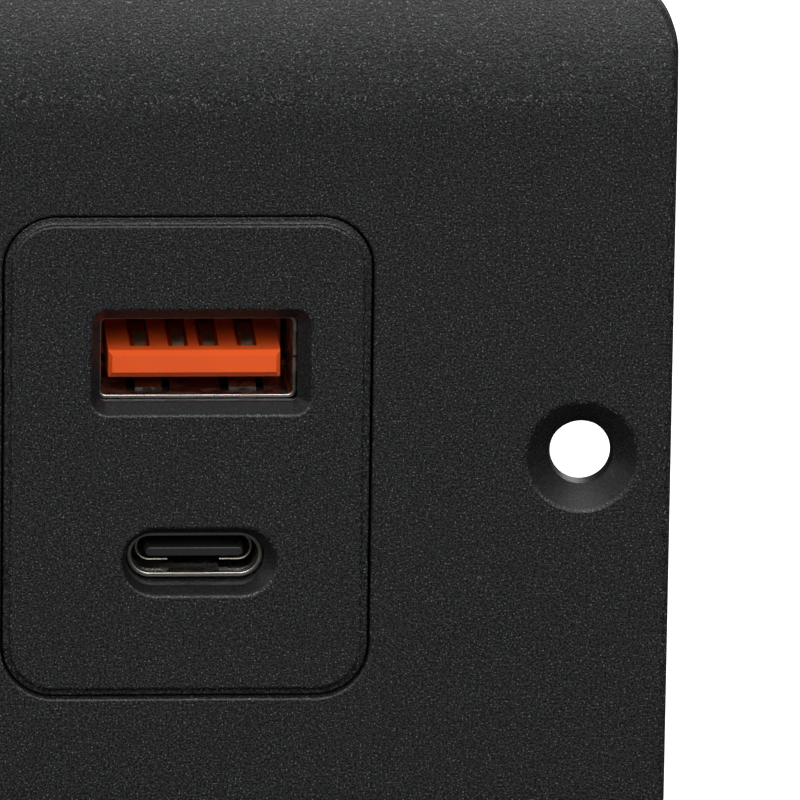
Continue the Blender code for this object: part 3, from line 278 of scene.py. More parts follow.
def lofted(name, sections, place=(0.0, 0.0), ring=False):
    """A solid through outlines of equal point count at their own depths. A ring joins its two ends."""
    shape = bmesh.new()
    rows = []
    for outline, depth in sections:
        rows.append([shape.verts.new((place[0] + x, depth, place[1] + z)) for x, z in outline])
    pairs = list(zip(rows, rows[1:]))
    if ring:
        pairs.append((rows[-1], rows[0]))
    for near, far in pairs:
        for i in range(len(near)):
            j = (i + 1) % len(near)
            shape.faces.new((near[i], near[j], far[j], far[i]))
    if not ring:
        shape.faces.new(list(reversed(rows[0])))
        shape.faces.new(rows[-1])
    return from_shape(name, shape)


def turned(name, profile, place, facets=TURN_FACETS):
    """A profile of (radius, depth) points turned about an axis along Y. Its ends close flat."""
    return lofted(name, [(circle(r, facets), depth) for r, depth in profile], place)


def rod(name, radius, front, back, place, facets=TURN_FACETS):
    return turned(name, [(radius, front), (radius, back)], place, facets)


def profile_slab(name, profile, low, high):
    """A profile in Y and Z, solid from one place in X to another."""
    shape = bmesh.new()
    ends = [[shape.verts.new((x, y, z)) for y, z in profile] for x in (low, high)]
    for i in range(len(profile)):
        j = (i + 1) % len(profile)
        shape.faces.new((ends[0][i], ends[0][j], ends[1][j], ends[1][i]))
    shape.faces.new(list(reversed(ends[0])))
    shape.faces.new(ends[1])
    return from_shape(name, shape)


def block(name, low, high):
    profile = [(low[1], low[2]), (high[1], low[2]), (high[1], high[2]), (low[1], high[2])]
    return profile_slab(name, profile, low[0], high[0])


def applied(piece):
    """Gives the piece the mesh that its modifiers make."""
    graph = bpy.context.evaluated_depsgraph_get()
    mesh = bpy.data.meshes.new_from_object(piece.evaluated_get(graph))
    piece.modifiers.clear()
    piece.data = mesh
    return piece


def combine(piece, others, operation):
    for other in others:
        step = piece.modifiers.new("combine", "BOOLEAN")
        step.operation = operation
        step.solver = "EXACT"
        step.object = other
        applied(piece)
        bpy.data.objects.remove(other)
    return piece


def cut(piece, *others):
    return combine(piece, others, "DIFFERENCE")


def add(piece, *others):
    return combine(piece, others, "UNION")


def soften(piece, width, segments=3, angle=radians(40)):
    step = piece.modifiers.new("soften", "BEVEL")
    step.width = width
    step.segments = segments
    step.limit_method = "ANGLE"
    step.angle_limit = angle
    step.harden_normals = False
    return applied(piece)


def finished(piece, material, slot, *nodes, body="chassis"):
    """Shades a piece smoothly, dresses it, and sets it in place of its CAD nodes."""
    bpy.context.view_layer.update()
    piece.data.shade_smooth()
    piece.data.set_sharp_from_angle(angle=SMOOTH_ANGLE)
    piece.data.materials.clear()
    piece.data.materials.append(material)
    weighted = piece.modifiers.new("weighted", "WEIGHTED_NORMAL")
    weighted.keep_sharp = True
    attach(piece, body)
    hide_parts(*nodes)
    return piece


def smooth_and_shade_recesses(piece, spots, material):
    """Gives the slopes inside recesses their own plastic: a smoother texture and a darker colour, which is
    painted shade. A spot is a place and its reach.
    """
    piece.data.materials.append(material)
    for face in piece.data.polygons:
        centre = face.center
        if not RECESS_START < centre.y - PLATE_FRONT < HOLE_WALL:
            continue
        for place, reach in spots:
            if abs(centre.x - place[0]) < reach[0] and abs(centre.z - place[1]) < reach[1]:
                face.material_index = 1


# Finishes


def new_group(name, inputs, outputs):
    """An effect as a node group. Inputs are numbers unless their default is a colour."""
    group = bpy.data.node_groups.new(name, "ShaderNodeTree")
    for label, default in inputs.items():
        kind = "NodeSocketColor" if isinstance(default, tuple) else "NodeSocketFloat"
        group.interface.new_socket(label, in_out="INPUT", socket_type=kind).default_value = default
    for label, kind in outputs.items():
        group.interface.new_socket(label, in_out="OUTPUT", socket_type="NodeSocket" + kind)
    return group, group.nodes.new("NodeGroupInput"), group.nodes.new("NodeGroupOutput")


def link(tree, source, target):
    tree.links.new(source, target)


def noise(tree, position, size, detail=2.0, roughness=0.5):
    """Noise whose features are about size across. size is a length or a socket that holds a scale."""
    node = tree.nodes.new("ShaderNodeTexNoise")
    link(tree, position, node.inputs["Vector"])
    if isinstance(size, float):
        node.inputs["Scale"].default_value = 1.0 / size
    else:
        link(tree, size, node.inputs["Scale"])
    node.inputs["Detail"].default_value = detail
    node.inputs["Roughness"].default_value = roughness
    return node.outputs["Fac"]


def band(tree, value, low, high, out_low=0.0, out_high=1.0):
    """Maps a value from one range to another, smoothly and clamped."""
    node = tree.nodes.new("ShaderNodeMapRange")
    node.interpolation_type = "SMOOTHSTEP"
    link(tree, value, node.inputs["Value"])
    for label, number in (("From Min", low), ("From Max", high), ("To Min", out_low), ("To Max", out_high)):
        node.inputs[label].default_value = number
    return node.outputs["Result"]


def maths(tree, operation, first, second):
    node = tree.nodes.new("ShaderNodeMath")
    node.operation = operation
    for socket, value in zip(node.inputs, (first, second)):
        if isinstance(value, (int, float)):
            socket.default_value = value
        else:
            link(tree, value, socket)
    return node.outputs[0]


def mixed(tree, factor, first, second):
    """One colour over another by a mask."""
    node = tree.nodes.new("ShaderNodeMix")
    node.data_type = "RGBA"
    for socket, value in ((node.inputs[0], factor), (node.inputs[6], first), (node.inputs[7], second)):
        if isinstance(value, (int, float)):
            socket.default_value = value
        elif isinstance(value, tuple):
            socket.default_value = (*value, 1.0)
        else:
            link(tree, value, socket)
    return node.outputs[2]


def place_in_object(tree):
    return tree.nodes.new("ShaderNodeTexCoord").outputs["Object"]


def make_eroded_group():
    """Spark-eroded mould texture: a pebbled height, a mask of spots that are painted as bright glints, and
    slow drifts in tone.
    """
    outputs = {"Height": "Float", "Glint": "Float", "Drift": "Float"}
    tree, given, out = new_group("eroded_texture", {"Pebbles": 5000.0, "Glints": 0.7}, outputs)
    where = place_in_object(tree)
    coarse = noise(tree, where, given.outputs["Pebbles"], 1.0)
    fine = noise(tree, where, maths(tree, "MULTIPLY", given.outputs["Pebbles"], 2.3), 1.0)
    height = maths(tree, "ADD", maths(tree, "MULTIPLY", coarse, 0.7), maths(tree, "MULTIPLY", fine, 0.3))
    link(tree, height, out.inputs["Height"])
    # Spots painted into the colour as bright glints: painted highlights.
    painted_glint_noise = noise(tree, where, maths(tree, "MULTIPLY", given.outputs["Pebbles"], 1.3), 0.0)
    painted_glint_spots = band(tree, painted_glint_noise, 0.66, 0.8)
    link(tree, maths(tree, "MULTIPLY", painted_glint_spots, given.outputs["Glints"]), out.inputs["Glint"])
    link(tree, band(tree, noise(tree, where, 6 * mm, 3.0), 0.3, 0.7), out.inputs["Drift"])
    return tree


def make_dust_group():
    """Sparse specks of dust and lint, as a mask."""
    tree, given, out = new_group("dust", {"Amount": 0.5}, {"Mask": "Float"})
    where = place_in_object(tree)
    cells = tree.nodes.new("ShaderNodeTexVoronoi")
    cells.inputs["Scale"].default_value = 1 / (1.6 * mm)
    link(tree, where, cells.inputs["Vector"])
    speck = band(tree, cells.outputs["Distance"], 0.03, 0.07, 1.0, 0.0)
    pick = tree.nodes.new("ShaderNodeSeparateColor")
    link(tree, cells.outputs["Color"], pick.inputs[0])
    chosen = maths(tree, "GREATER_THAN", pick.outputs[0], 0.86)
    mask = maths(tree, "MULTIPLY", maths(tree, "MULTIPLY", speck, chosen), given.outputs["Amount"])
    link(tree, mask, out.inputs["Mask"])
    return tree


def make_drawn_group():
    """Drawn or rolled metal: fine lines along Y, stains and a few pits."""
    outputs = {"Lines": "Float", "Stain": "Float", "Pits": "Float"}
    tree, given, out = new_group("drawn_metal", {"Fineness": 9000.0}, outputs)
    where = place_in_object(tree)
    stretch = tree.nodes.new("ShaderNodeMapping")
    stretch.inputs["Scale"].default_value = (1.0, 0.06, 1.0)
    link(tree, where, stretch.inputs["Vector"])
    link(tree, noise(tree, stretch.outputs[0], given.outputs["Fineness"], 2.0), out.inputs["Lines"])
    link(tree, band(tree, noise(tree, where, 1.6 * mm, 4.0, 0.6), 0.42, 0.68), out.inputs["Stain"])
    link(tree, band(tree, noise(tree, where, 0.16 * mm, 1.0), 0.7, 0.78), out.inputs["Pits"])
    return tree


ERODED = make_eroded_group()
DUST = make_dust_group()
DRAWN = make_drawn_group()


def new_material(name, roughness, metallic=0.0, specular=0.5, coat=0.0):
    material = bpy.data.materials.new(name)
    material.use_nodes = True
    tree = material.node_tree
    shader = tree.nodes["Principled BSDF"]
    shader.inputs["Roughness"].default_value = roughness
    shader.inputs["Metallic"].default_value = metallic
    shader.inputs["Specular IOR Level"].default_value = specular
    shader.inputs["Coat Weight"].default_value = coat
    return material, tree, shader


def effect(tree, group, **values):
    node = tree.nodes.new("ShaderNodeGroup")
    node.node_tree = group
    for label, value in values.items():
        node.inputs[label].default_value = value
    return node.outputs


def bump(tree, shader, height, distance, strength=1.0):
    node = tree.nodes.new("ShaderNodeBump")
    node.inputs["Distance"].default_value = distance
    node.inputs["Strength"].default_value = strength
    link(tree, height, node.inputs["Height"])
    link(tree, node.outputs[0], shader.inputs["Normal"])


def textured_plastic(name, colour, glint, roughness, pebble=0.2 * mm, depth=0.012 * mm, **options):
    """Moulded plastic with an eroded texture, painted shade in the pebbles' hollows, painted light on their
    tops and painted glints. Options: specular, dusty, contrast, and the painted glints' strength.
    """
    dusty = options.pop("dusty", 0.5)
    glints = options.pop("glints", 0.7)
    contrast = options.pop("contrast", 0.08)
    material, tree, shader = new_material(name, roughness, **options)
    texture = effect(tree, ERODED, Pebbles=1 / pebble, Glints=glints)
    # Painted shade in the pebbles' hollows and painted light on their tops, as strong as contrast.
    dark = tuple((1 - contrast) * c for c in colour)
    light = tuple((1 + 1.4 * contrast) * c for c in colour)
    shade = mixed(tree, band(tree, texture["Height"], 0.42, 0.58), dark, light)
    deeper = tuple(0.4 * c for c in colour)
    shade = mixed(tree, maths(tree, "MULTIPLY", texture["Drift"], 0.12), shade, deeper)
    # Paints bright glints into the colour: painted highlights.
    shade = mixed(tree, texture["Glint"], shade, glint)
    specks = effect(tree, DUST, Amount=dusty)["Mask"]
    link(tree, mixed(tree, specks, shade, (0.16, 0.16, 0.16)), shader.inputs["Base Color"])
    smooth = band(tree, texture["Drift"], 0.0, 1.0, roughness - 0.015, roughness + 0.015)
    link(tree, maths(tree, "SUBTRACT", smooth, maths(tree, "MULTIPLY", texture["Glint"], 0.12)),
         shader.inputs["Roughness"])
    bump(tree, shader, texture["Height"], depth)
    return material


def drawn_metal(name, colour, stain, roughness, depth=0.002 * mm, fineness=9000.0):
    material, tree, shader = new_material(name, roughness, metallic=1.0)
    metal = effect(tree, DRAWN, Fineness=fineness)
    shade = mixed(tree, metal["Stain"], colour, stain)
    shade = mixed(tree, metal["Pits"], shade, tuple(0.3 * c for c in colour))
    link(tree, shade, shader.inputs["Base Color"])
    uneven = band(tree, metal["Stain"], 0.0, 1.0, roughness, roughness + 0.16)
    link(tree, uneven, shader.inputs["Roughness"])
    bump(tree, shader, metal["Lines"], depth)
    return material


# In each plastic below, the colour after the base colour is painted in as glints, which are painted
# highlights, and contrast sets the painted shade and light of the pebbles.
def make_charcoal_plastic(name, **options):
    return textured_plastic(
        name, (0.0117, 0.0121, 0.013), (0.2, 0.205, 0.215), 0.42, pebble=0.15 * mm, depth=0.05 * mm,
        specular=0.4, contrast=0.8,
        **options,
    )


PLATE_PLASTIC = make_charcoal_plastic("charcoal_plate_plastic")
INSERT_PLASTIC = make_charcoal_plastic("charcoal_insert_plastic", dusty=0.35)
# A finer texture than the plate's, and darker: painted shade on the slopes inside recesses.
SHADED_RECESS_PLASTIC = textured_plastic(
    "smooth_recess_plastic_painted_shade", (0.0085, 0.0087, 0.0093), (0.05, 0.05, 0.052), 0.42, pebble=0.15 * mm,
    depth=0.012 * mm, specular=0.27, glints=0.5, contrast=0.4, dusty=0.2,
)
HOUSING_PLASTIC = textured_plastic(
    "housing_plastic", (0.014, 0.014, 0.015), (0.03, 0.03, 0.032), 0.55, pebble=0.35 * mm, specular=0.3,
    glints=0.4,
)
ORANGE_PLASTIC = textured_plastic(
    "orange_tongue_plastic", (0.95, 0.118, 0.02), (0.95, 0.2, 0.05), 0.42, pebble=0.07 * mm,
    depth=0.001 * mm, specular=0.35, glints=0.15, dusty=0.25, contrast=0.03,
)
DARK_PLASTIC = textured_plastic(
    "dark_socket_plastic", (0.03, 0.03, 0.032), (0.06, 0.06, 0.06), 0.32, pebble=0.1 * mm, depth=0.003 * mm,
    specular=0.5, glints=0.3, dusty=0.3,
)
GREY_PLASTIC = textured_plastic(
    "grey_inner_plastic", (0.16, 0.16, 0.17), (0.24, 0.24, 0.25), 0.5, pebble=0.4 * mm, specular=0.4,
    dusty=0.2,
)
SHEET_PLASTIC = textured_plastic(
    "insulating_sheet_plastic", (0.6, 0.6, 0.56), (0.68, 0.68, 0.64), 0.45, pebble=0.5 * mm, specular=0.4,
    dusty=0.2,
)
PLATED_STEEL = drawn_metal("plated_socket_steel", (0.52, 0.5, 0.47), (0.4, 0.37, 0.33), 0.22)
SCREW_STEEL = drawn_metal("zinc_screw_steel", (0.6, 0.6, 0.6), (0.48, 0.48, 0.5), 0.28, fineness=6000.0)
BRASS = drawn_metal("contact_brass", (0.72, 0.5, 0.2), (0.5, 0.32, 0.12), 0.26)
GOLD_PLATING = drawn_metal("dull_contact_plating", (0.42, 0.36, 0.22), (0.28, 0.22, 0.13), 0.34)


def make_circuit_board():
    """Green lacquer over copper tracks, with a few bare pads."""
    material, tree, shader = new_material("lacquered_circuit_board", 0.3, coat=0.2)
    where = place_in_object(tree)
    tracks = tree.nodes.new("ShaderNodeTexBrick")
    tracks.inputs["Scale"].default_value = 1 / (3.2 * mm)
    tracks.inputs["Mortar Size"].default_value = 0.06
    turn = tree.nodes.new("ShaderNodeMapping")
    turn.inputs["Rotation"].default_value = (radians(90), 0.0, 0.0)
    link(tree, where, turn.inputs["Vector"])
    link(tree, turn.outputs[0], tracks.inputs["Vector"])
    drift = band(tree, noise(tree, where, 2.5 * mm, 3.0), 0.35, 0.65)
    lacquer = mixed(tree, drift, (0.008, 0.11, 0.045), (0.014, 0.16, 0.06))
    shade = mixed(tree, maths(tree, "MULTIPLY", tracks.outputs["Fac"], 0.8), lacquer, (0.03, 0.28, 0.1))
    pads = band(tree, noise(tree, where, 1.1 * mm, 0.0), 0.73, 0.75)
    link(tree, mixed(tree, pads, shade, (0.6, 0.58, 0.54)), shader.inputs["Base Color"])
    link(tree, band(tree, drift, 0.0, 1.0, 0.24, 0.36), shader.inputs["Roughness"])
    bump(tree, shader, tracks.outputs["Fac"], 0.03 * mm)
    return material


def make_ferrite():
    material, tree, shader = new_material("sintered_ferrite", 0.55)
    where = place_in_object(tree)
    grain = noise(tree, where, 0.25 * mm, 3.0, 0.6)
    stain = band(tree, noise(tree, where, 3 * mm, 3.0), 0.35, 0.7)
    shade = mixed(tree, stain, (0.045, 0.045, 0.05), (0.075, 0.07, 0.068))
    shade = mixed(tree, band(tree, grain, 0.66, 0.74), shade, (0.2, 0.2, 0.2))
    link(tree, shade, shader.inputs["Base Color"])
    link(tree, band(tree, grain, 0.3, 0.7, 0.45, 0.65), shader.inputs["Roughness"])
    bump(tree, shader, grain, 0.02 * mm)
    return material


def make_wrapped(name, colour, shade, roughness, pitch):
    """Tape or a shrunk sleeve: overlapping turns along Y with faint wrinkles."""
    material, tree, shader = new_material(name, roughness, coat=0.15)
    where = place_in_object(tree)
    turns = tree.nodes.new("ShaderNodeTexWave")
    turns.bands_direction = "Y"
    turns.wave_profile = "SAW"
    turns.inputs["Scale"].default_value = 0.31 / pitch
    turns.inputs["Distortion"].default_value = 0.4
    link(tree, where, turns.inputs["Vector"])
    wrinkle = noise(tree, where, 0.8 * mm, 3.0, 0.6)
    body = mixed(tree, band(tree, wrinkle, 0.35, 0.65), colour, tuple(0.82 * c for c in colour))
    edge = band(tree, turns.outputs["Fac"], 0.9, 1.0)
    link(tree, mixed(tree, edge, body, shade), shader.inputs["Base Color"])
    link(tree, band(tree, wrinkle, 0.3, 0.7, roughness - 0.06, roughness + 0.08), shader.inputs["Roughness"])
    height = maths(tree, "ADD", turns.outputs["Fac"], maths(tree, "MULTIPLY", wrinkle, 0.6))
    bump(tree, shader, height, 0.04 * mm)
    return material


BOARD_LACQUER = make_circuit_board()
FERRITE = make_ferrite()
WINDING_TAPE = make_wrapped("winding_tape", (0.72, 0.52, 0.07), (0.4, 0.27, 0.03), 0.34, 2.6 * mm)
CAN_SLEEVE = make_wrapped("can_sleeve", (0.03, 0.045, 0.13), (0.3, 0.31, 0.34), 0.3, 8.0 * mm)
LIVE_SLEEVE = make_wrapped("live_sleeve", (0.42, 0.02, 0.014), (0.3, 0.012, 0.01), 0.42, 1.2 * mm)
NEUTRAL_SLEEVE = make_wrapped("neutral_sleeve", (0.68, 0.68, 0.64), (0.5, 0.5, 0.47), 0.42, 1.2 * mm)


# Faceplate


def crown_drop(height):
    """How far the front face has rolled back at a height."""
    radius = (ROLL_WIDTH**2 + ROLL_DROP**2) / (2 * ROLL_DROP)
    past = max(0.0, abs(height) - (PLATE_HALF[1] - ROLL_WIDTH))
    return radius - sqrt(radius**2 - past**2)


def plate_levels():
    """Heights where the front face's rows start, up to where the corners begin."""
    start = PLATE_HALF[1] - ROLL_WIDTH
    end = PLATE_HALF[1] - PLATE_CORNER
    steps = 10
    return [start + (end - start) * i / steps for i in range(steps)]


def plate_side(inset):
    """The right side of the outline, from the bottom edge to the top one."""
    radius = PLATE_CORNER - inset
    x = PLATE_HALF[0] - PLATE_CORNER
    z = PLATE_HALF[1] - PLATE_CORNER
    levels = plate_levels()
    lower = arc((x, -z), radius, -pi / 2, 0.0, 2 * CORNER_FACETS)
    upper = arc((x, z), radius, 0.0, pi / 2, 2 * CORNER_FACETS)
    edge = PLATE_HALF[0] - inset
    return [*lower, *[(edge, -v) for v in reversed(levels)], *[(edge, v) for v in levels], *upper]


def plate_shell():
    """The plate's outer solid: rolled front, rounded edge and flat back."""
    shape = bmesh.new()
    levels = [(0.0, 0.0, False)]
    levels += [(inset, depth, True) for inset, depth in reversed(eased_edge(EDGE_FILLET, 0.0, steps=8))]
    rows = []
    for inset, depth, crowned in levels:
        right = plate_side(inset)
        loop = right + [(-x, z) for x, z in reversed(right)]
        row = []
        for x, z in loop:
            y = PLATE_FRONT + depth + crown_drop(z) if crowned else 0.0
            row.append(shape.verts.new((x, y, z)))
        rows.append(row)
    count = len(rows[0])
    for near, far in zip(rows, rows[1:]):
        for i in range(count):
            j = (i + 1) % count
            shape.faces.new((near[i], near[j], far[j], far[i]))
    shape.faces.new(rows[0])
    front = rows[-1]
    for i in range(count // 2 - 1):
        shape.faces.new((front[i], front[i + 1], front[count - 2 - i], front[count - 1 - i]))
    return from_shape("faceplate_detail", shape)


def soft_opening(size, corner, place, back):
    """Cutter for an opening whose front edge is rounded over."""
    sections = [(rounded(size, corner, OPENING_FILLET), 2 * PLATE_FRONT)]
    for inset, depth in eased_edge(OPENING_FILLET, PLATE_FRONT - HAIR):
        sections.append((rounded(size, corner, inset), depth))
    sections.append((rounded(size, corner), back))
    return lofted("opening", sections, place)


def mounting_hole(side):
    """Cutter for a countersunk hole with softened edges and the pocket behind it."""
    slope = (SINK_RADIUS - SINK_FLOOR) / SINK_DEPTH
    ease = HOLE_EASE
    floor = PLATE_FRONT + SINK_DEPTH
    wall = PLATE_FRONT + HOLE_WALL
    profile = [
        (SINK_RADIUS + ease, 2 * PLATE_FRONT),
        (SINK_RADIUS + ease, PLATE_FRONT - HAIR),
        (SINK_RADIUS + 0.3 * ease, PLATE_FRONT + 0.15 * ease),
        (SINK_RADIUS - ease * slope, PLATE_FRONT + ease),
        (SINK_FLOOR + 0.7 * ease * slope, floor - 0.7 * ease),
        (SINK_FLOOR + 0.1 * ease, floor),
        (SINK_FLOOR - 0.2 * ease, floor + ease),
        (HOLE_RADIUS + 0.2 * ease, wall - 1.5 * ease),
        (HOLE_RADIUS, wall - 0.8 * ease),
        (HOLE_RADIUS, wall),
        (RELIEF_RADIUS, wall),
        (RELIEF_RADIUS, -2 * PLATE_FRONT),
    ]
    return turned("mounting_hole", profile, (side * (PLATE_HALF[0] - HOLE_INSET), 0.0))


def boss_places():
    return [(x, z) for x in (-BOSS_PLACE, BOSS_PLACE) for z in (-BOSS_OFFSET, BOSS_OFFSET)]


def make_faceplate():
    plate = plate_shell()
    back = plate_high.y
    for place in boss_places():
        boss = [(BOSS_RADIUS, PLATE_FRONT / 2), (BOSS_RADIUS, back - PANEL_FILLET)]
        boss.append((BOSS_RADIUS - PANEL_FILLET, back))
        add(plate, turned("boss", boss, place, ROUND_FACETS))
    for place in boss_places():
        cut(plate, rod("pilot", PILOT_RADIUS, FLANGE_FRONT, 2 * back, place, ROUND_FACETS))
    for node in ("outlet_insert_1", "outlet_insert_2", "usb_insert"):
        size = insert_size(node)
        opening = (size[0] + 2 * PANEL_GAP, size[1] + 2 * PANEL_GAP)
        x = middle_of(node)[0]
        cut(plate, soft_opening(opening, INSERT_CORNER + PANEL_GAP, (x, 0.0), back))
    cut(plate, mounting_hole(-1), mounting_hole(1))
    finished(plate, PLATE_PLASTIC, "plate_plastic", "faceplate")
    spots = [((side * (PLATE_HALF[0] - HOLE_INSET), 0.0), (SINK_RADIUS, SINK_RADIUS)) for side in (-1, 1)]
    smooth_and_shade_recesses(plate, spots, SHADED_RECESS_PLASTIC)


# Inserts


def insert_body(name, node, back):
    """An insert's flange, sunk rim and raised panel, with all front edges rounded over."""
    size = insert_size(node)
    rim = PLATE_FRONT + RIM_DEPTH
    steps = [(0.0, back), (0.0, FLANGE_BACK), (-FLANGE_WIDTH, FLANGE_BACK), (-FLANGE_WIDTH, FLANGE_FRONT)]
    steps.append((0.0, FLANGE_FRONT))
    steps += reversed(eased_edge(RIM_FILLET, rim))
    steps.append((RIM_WIDTH - RIM_FILLET, rim))
    steps.append((RIM_WIDTH, rim - RIM_FILLET / 2))
    steps += [(RIM_WIDTH + inset, depth) for inset, depth in reversed(eased_edge(PANEL_FILLET, PLATE_FRONT))]
    sections = [(rounded(size, INSERT_CORNER, -inset), depth) for inset, depth in steps]
    return lofted(name, sections, (middle_of(node)[0], 0.0))


def port_mouth(outline, bevel, shift, place, back):
    """Cutter for a socket's mouth: a soft slope that leans to one side, then the straight hole."""
    steps = [(bevel + MOUTH_FILLET, 2 * PLATE_FRONT), (bevel + MOUTH_FILLET, PLATE_FRONT - HAIR)]
    steps.append((bevel + 0.35 * MOUTH_FILLET, PLATE_FRONT + 0.12 * MOUTH_FILLET))
    steps.append((bevel - 0.3 * MOUTH_FILLET, PLATE_FRONT + 0.6 * MOUTH_FILLET))
    steps.append((bevel - MOUTH_FILLET, PLATE_FRONT + 1.5 * MOUTH_FILLET))
    steps.append((0.3 * MOUTH_FILLET, PLATE_FRONT + MOUTH_DEPTH - 0.5 * MOUTH_FILLET))
    steps += [(0.0, PLATE_FRONT + MOUTH_DEPTH), (0.0, back)]
    sections = []
    for grow, depth in steps:
        lean = shift + (MOUTH_SHIFT - shift) * min(1.0, grow / bevel)
        sections.append((outline(grow, lean), depth))
    return lofted("mouth", sections, place)


def make_usb_insert():
    end = usb_high.y
    back = USB_INSERT_BACK
    insert = insert_body("usb_insert_detail", "usb_insert", back)
    half = [size / 2 - BOARD_WALL - POST_RADIUS - CLEARANCE for size in insert_size("usb_insert")]
    places = [(USB_PLACE - half[0], half[1]), (USB_PLACE + half[0], -half[1])]
    for place in places:
        post = [(POST_RADIUS, 0.0), (POST_RADIUS, end - RIM_FILLET), (POST_RADIUS - RIM_FILLET, end)]
        add(insert, turned("post", post, place, POST_FACETS))
    for place in places:
        cut(insert, rod("pilot", POST_PILOT, end / 2, 2 * end, place, POST_FACETS))
    a_outline = lambda grow, lean: rounded(A_OPENING, A_CORNER, grow, shift=lean)
    c_outline = lambda grow, lean: stadium(C_OPENING, grow, lean)
    cut(insert, port_mouth(a_outline, A_BEVEL, A_OPENING_SHIFT, A_PLACE, 2 * back))
    cut(insert, port_mouth(c_outline, C_BEVEL, 0.0, C_PLACE, 2 * back))
    shell_low, shell_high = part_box("usb_a_shell")
    seat = [shell_high[i] - shell_low[i] + 2 * PANEL_GAP for i in (0, 2)]
    outline = rounded(seat, A_CORNER + SHEET)
    cut(insert, lofted("seat", [(outline, shell_low.y - PANEL_GAP), (outline, 2 * back)], A_PLACE))
    finished(insert, INSERT_PLASTIC, "insert_plastic", "usb_insert")
    spots = []
    for place, opening, bevel in ((A_PLACE, A_OPENING, A_BEVEL), (C_PLACE, C_OPENING, C_BEVEL)):
        middle = (place[0] + MOUTH_SHIFT, place[1])
        spots.append((middle, [side / 2 + bevel for side in opening]))
    smooth_and_shade_recesses(insert, spots, SHADED_RECESS_PLASTIC)


def earth_outline(grow, lean):
    """A round hole with a flat on top."""
    radius = EARTH_RADIUS + grow
    start = pi - asin((EARTH_FLAT + grow) / radius)
    return arc((lean, 0.0), radius, start, 3 * pi - start, 48)


def slot_mouth(outline, place, back):
    """Cutter for a blade or earth hole with a chamfered, softened mouth."""
    ease = SLOT_EASE
    steps = [(SLOT_BEVEL + ease, 2 * PLATE_FRONT), (SLOT_BEVEL + ease, PLATE_FRONT - HAIR)]
    steps += [(SLOT_BEVEL, PLATE_FRONT + 0.25 * ease), (SLOT_BEVEL - ease, PLATE_FRONT + ease)]
    floor = PLATE_FRONT + SLOT_BEVEL
    steps += [(ease / 2, floor - ease / 2), (0.0, floor + ease), (0.0, back)]
    return lofted("slot", [(outline(grow, 0.0), depth) for grow, depth in steps], place)


def make_outlet_insert(number):
    node = f"outlet_insert_{number}"
    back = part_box(node)[1].y
    x = middle_of(node)[0]
    size = insert_size(node)
    insert = insert_body(node + "_detail", node, back)
    inside = PLATE_FRONT + OUTLET_FACE
    cavity = rounded([s - 2 * INSERT_WALL for s in size], INSERT_CORNER - INSERT_WALL / 2)
    cut(insert, lofted("cavity", [(cavity, inside), (cavity, 2 * back)], (x, 0.0)))
    shutter_low, shutter_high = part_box(f"safety_shutter_{number}")
    below = shutter_low.z - CLEARANCE
    above = shutter_high.z + CLEARANCE
    front = inside - CLEARANCE
    wall = size[0] / 2 - INSERT_WALL / 2
    for low_z, high_z in ((below - RAIL_WIDTH, below), (above, above + RAIL_WIDTH)):
        add(insert, block("rail", (x - wall, front, low_z), (x + wall, back - CLEARANCE, high_z)))
    stop_low = (shutter_high.x + CLEARANCE, front, below - RAIL_WIDTH / 2)
    add(insert, block("stop", stop_low, (x + wall, back - CLEARANCE / 2, above + RAIL_WIDTH / 2)))
    reach = size[0] / 2 - INSERT_WALL - POST_INSET
    for place in ((x - reach, EARTH_HEIGHT), (x + reach, EARTH_HEIGHT)):
        add(insert, rod("post", POST_RADIUS, front, back - CLEARANCE, place, POST_FACETS))
        cut(insert, rod("pilot", POST_PILOT, inside, 2 * back, place, POST_FACETS))
    half = BLADE_PITCH / 2
    for offset, slot_size in ((half, LIVE_SLOT), (-half, NEUTRAL_SLOT)):
        outline = lambda grow, lean, size=slot_size: rounded(size, SLOT_CORNER, grow, 6, lean)
        cut(insert, slot_mouth(outline, (x + offset, BLADE_HEIGHT), back / 2))
    cut(insert, slot_mouth(earth_outline, (x, EARTH_HEIGHT), back / 2))
    finished(insert, INSERT_PLASTIC, "insert_plastic", node)


# USB sockets


def smooth_line(points, steps=6):
    """A smooth line through control points, as points at even steps between them."""
    ends = [points[0], *points, points[-1]]
    line = []
    for a, b, c, d in zip(ends, ends[1:], ends[2:], ends[3:]):
        for i in range(steps):
            t = i / steps
            weights = (-t + 2 * t**2 - t**3, 2 - 5 * t**2 + 3 * t**3, t + 4 * t**2 - 3 * t**3, t**3 - t**2)
            line.append(tuple(sum(w * p[k] for w, p in zip(weights, (a, b, c, d))) / 2 for k in (0, 1)))
    return [*line, points[-1]]


def bowed_strip(name, points, thickness, low, high):
    """A sheet strip that follows a smooth line in Y and Z, with eased edges."""
    line = smooth_line(points)
    profile = line + [(y, z + thickness) for y, z in reversed(line)]
    return soften(profile_slab(name, profile, low, high), thickness * STRIP_EASE, 2, radians(60))


def sheet_shell(name, outer, inner, front, back, place):
    """A drawn shell with a rounded front lip."""
    sections = [(outer(0.0), back), (outer(0.0), front + LIP), (outer(-0.3 * LIP), front + 0.3 * LIP)]
    sections += [(outer(-LIP), front), (inner(LIP), front), (inner(0.3 * LIP), front + 0.3 * LIP)]
    sections += [(inner(0.0), front + LIP), (inner(0.0), back)]
    return lofted(name, sections, place, ring=True)


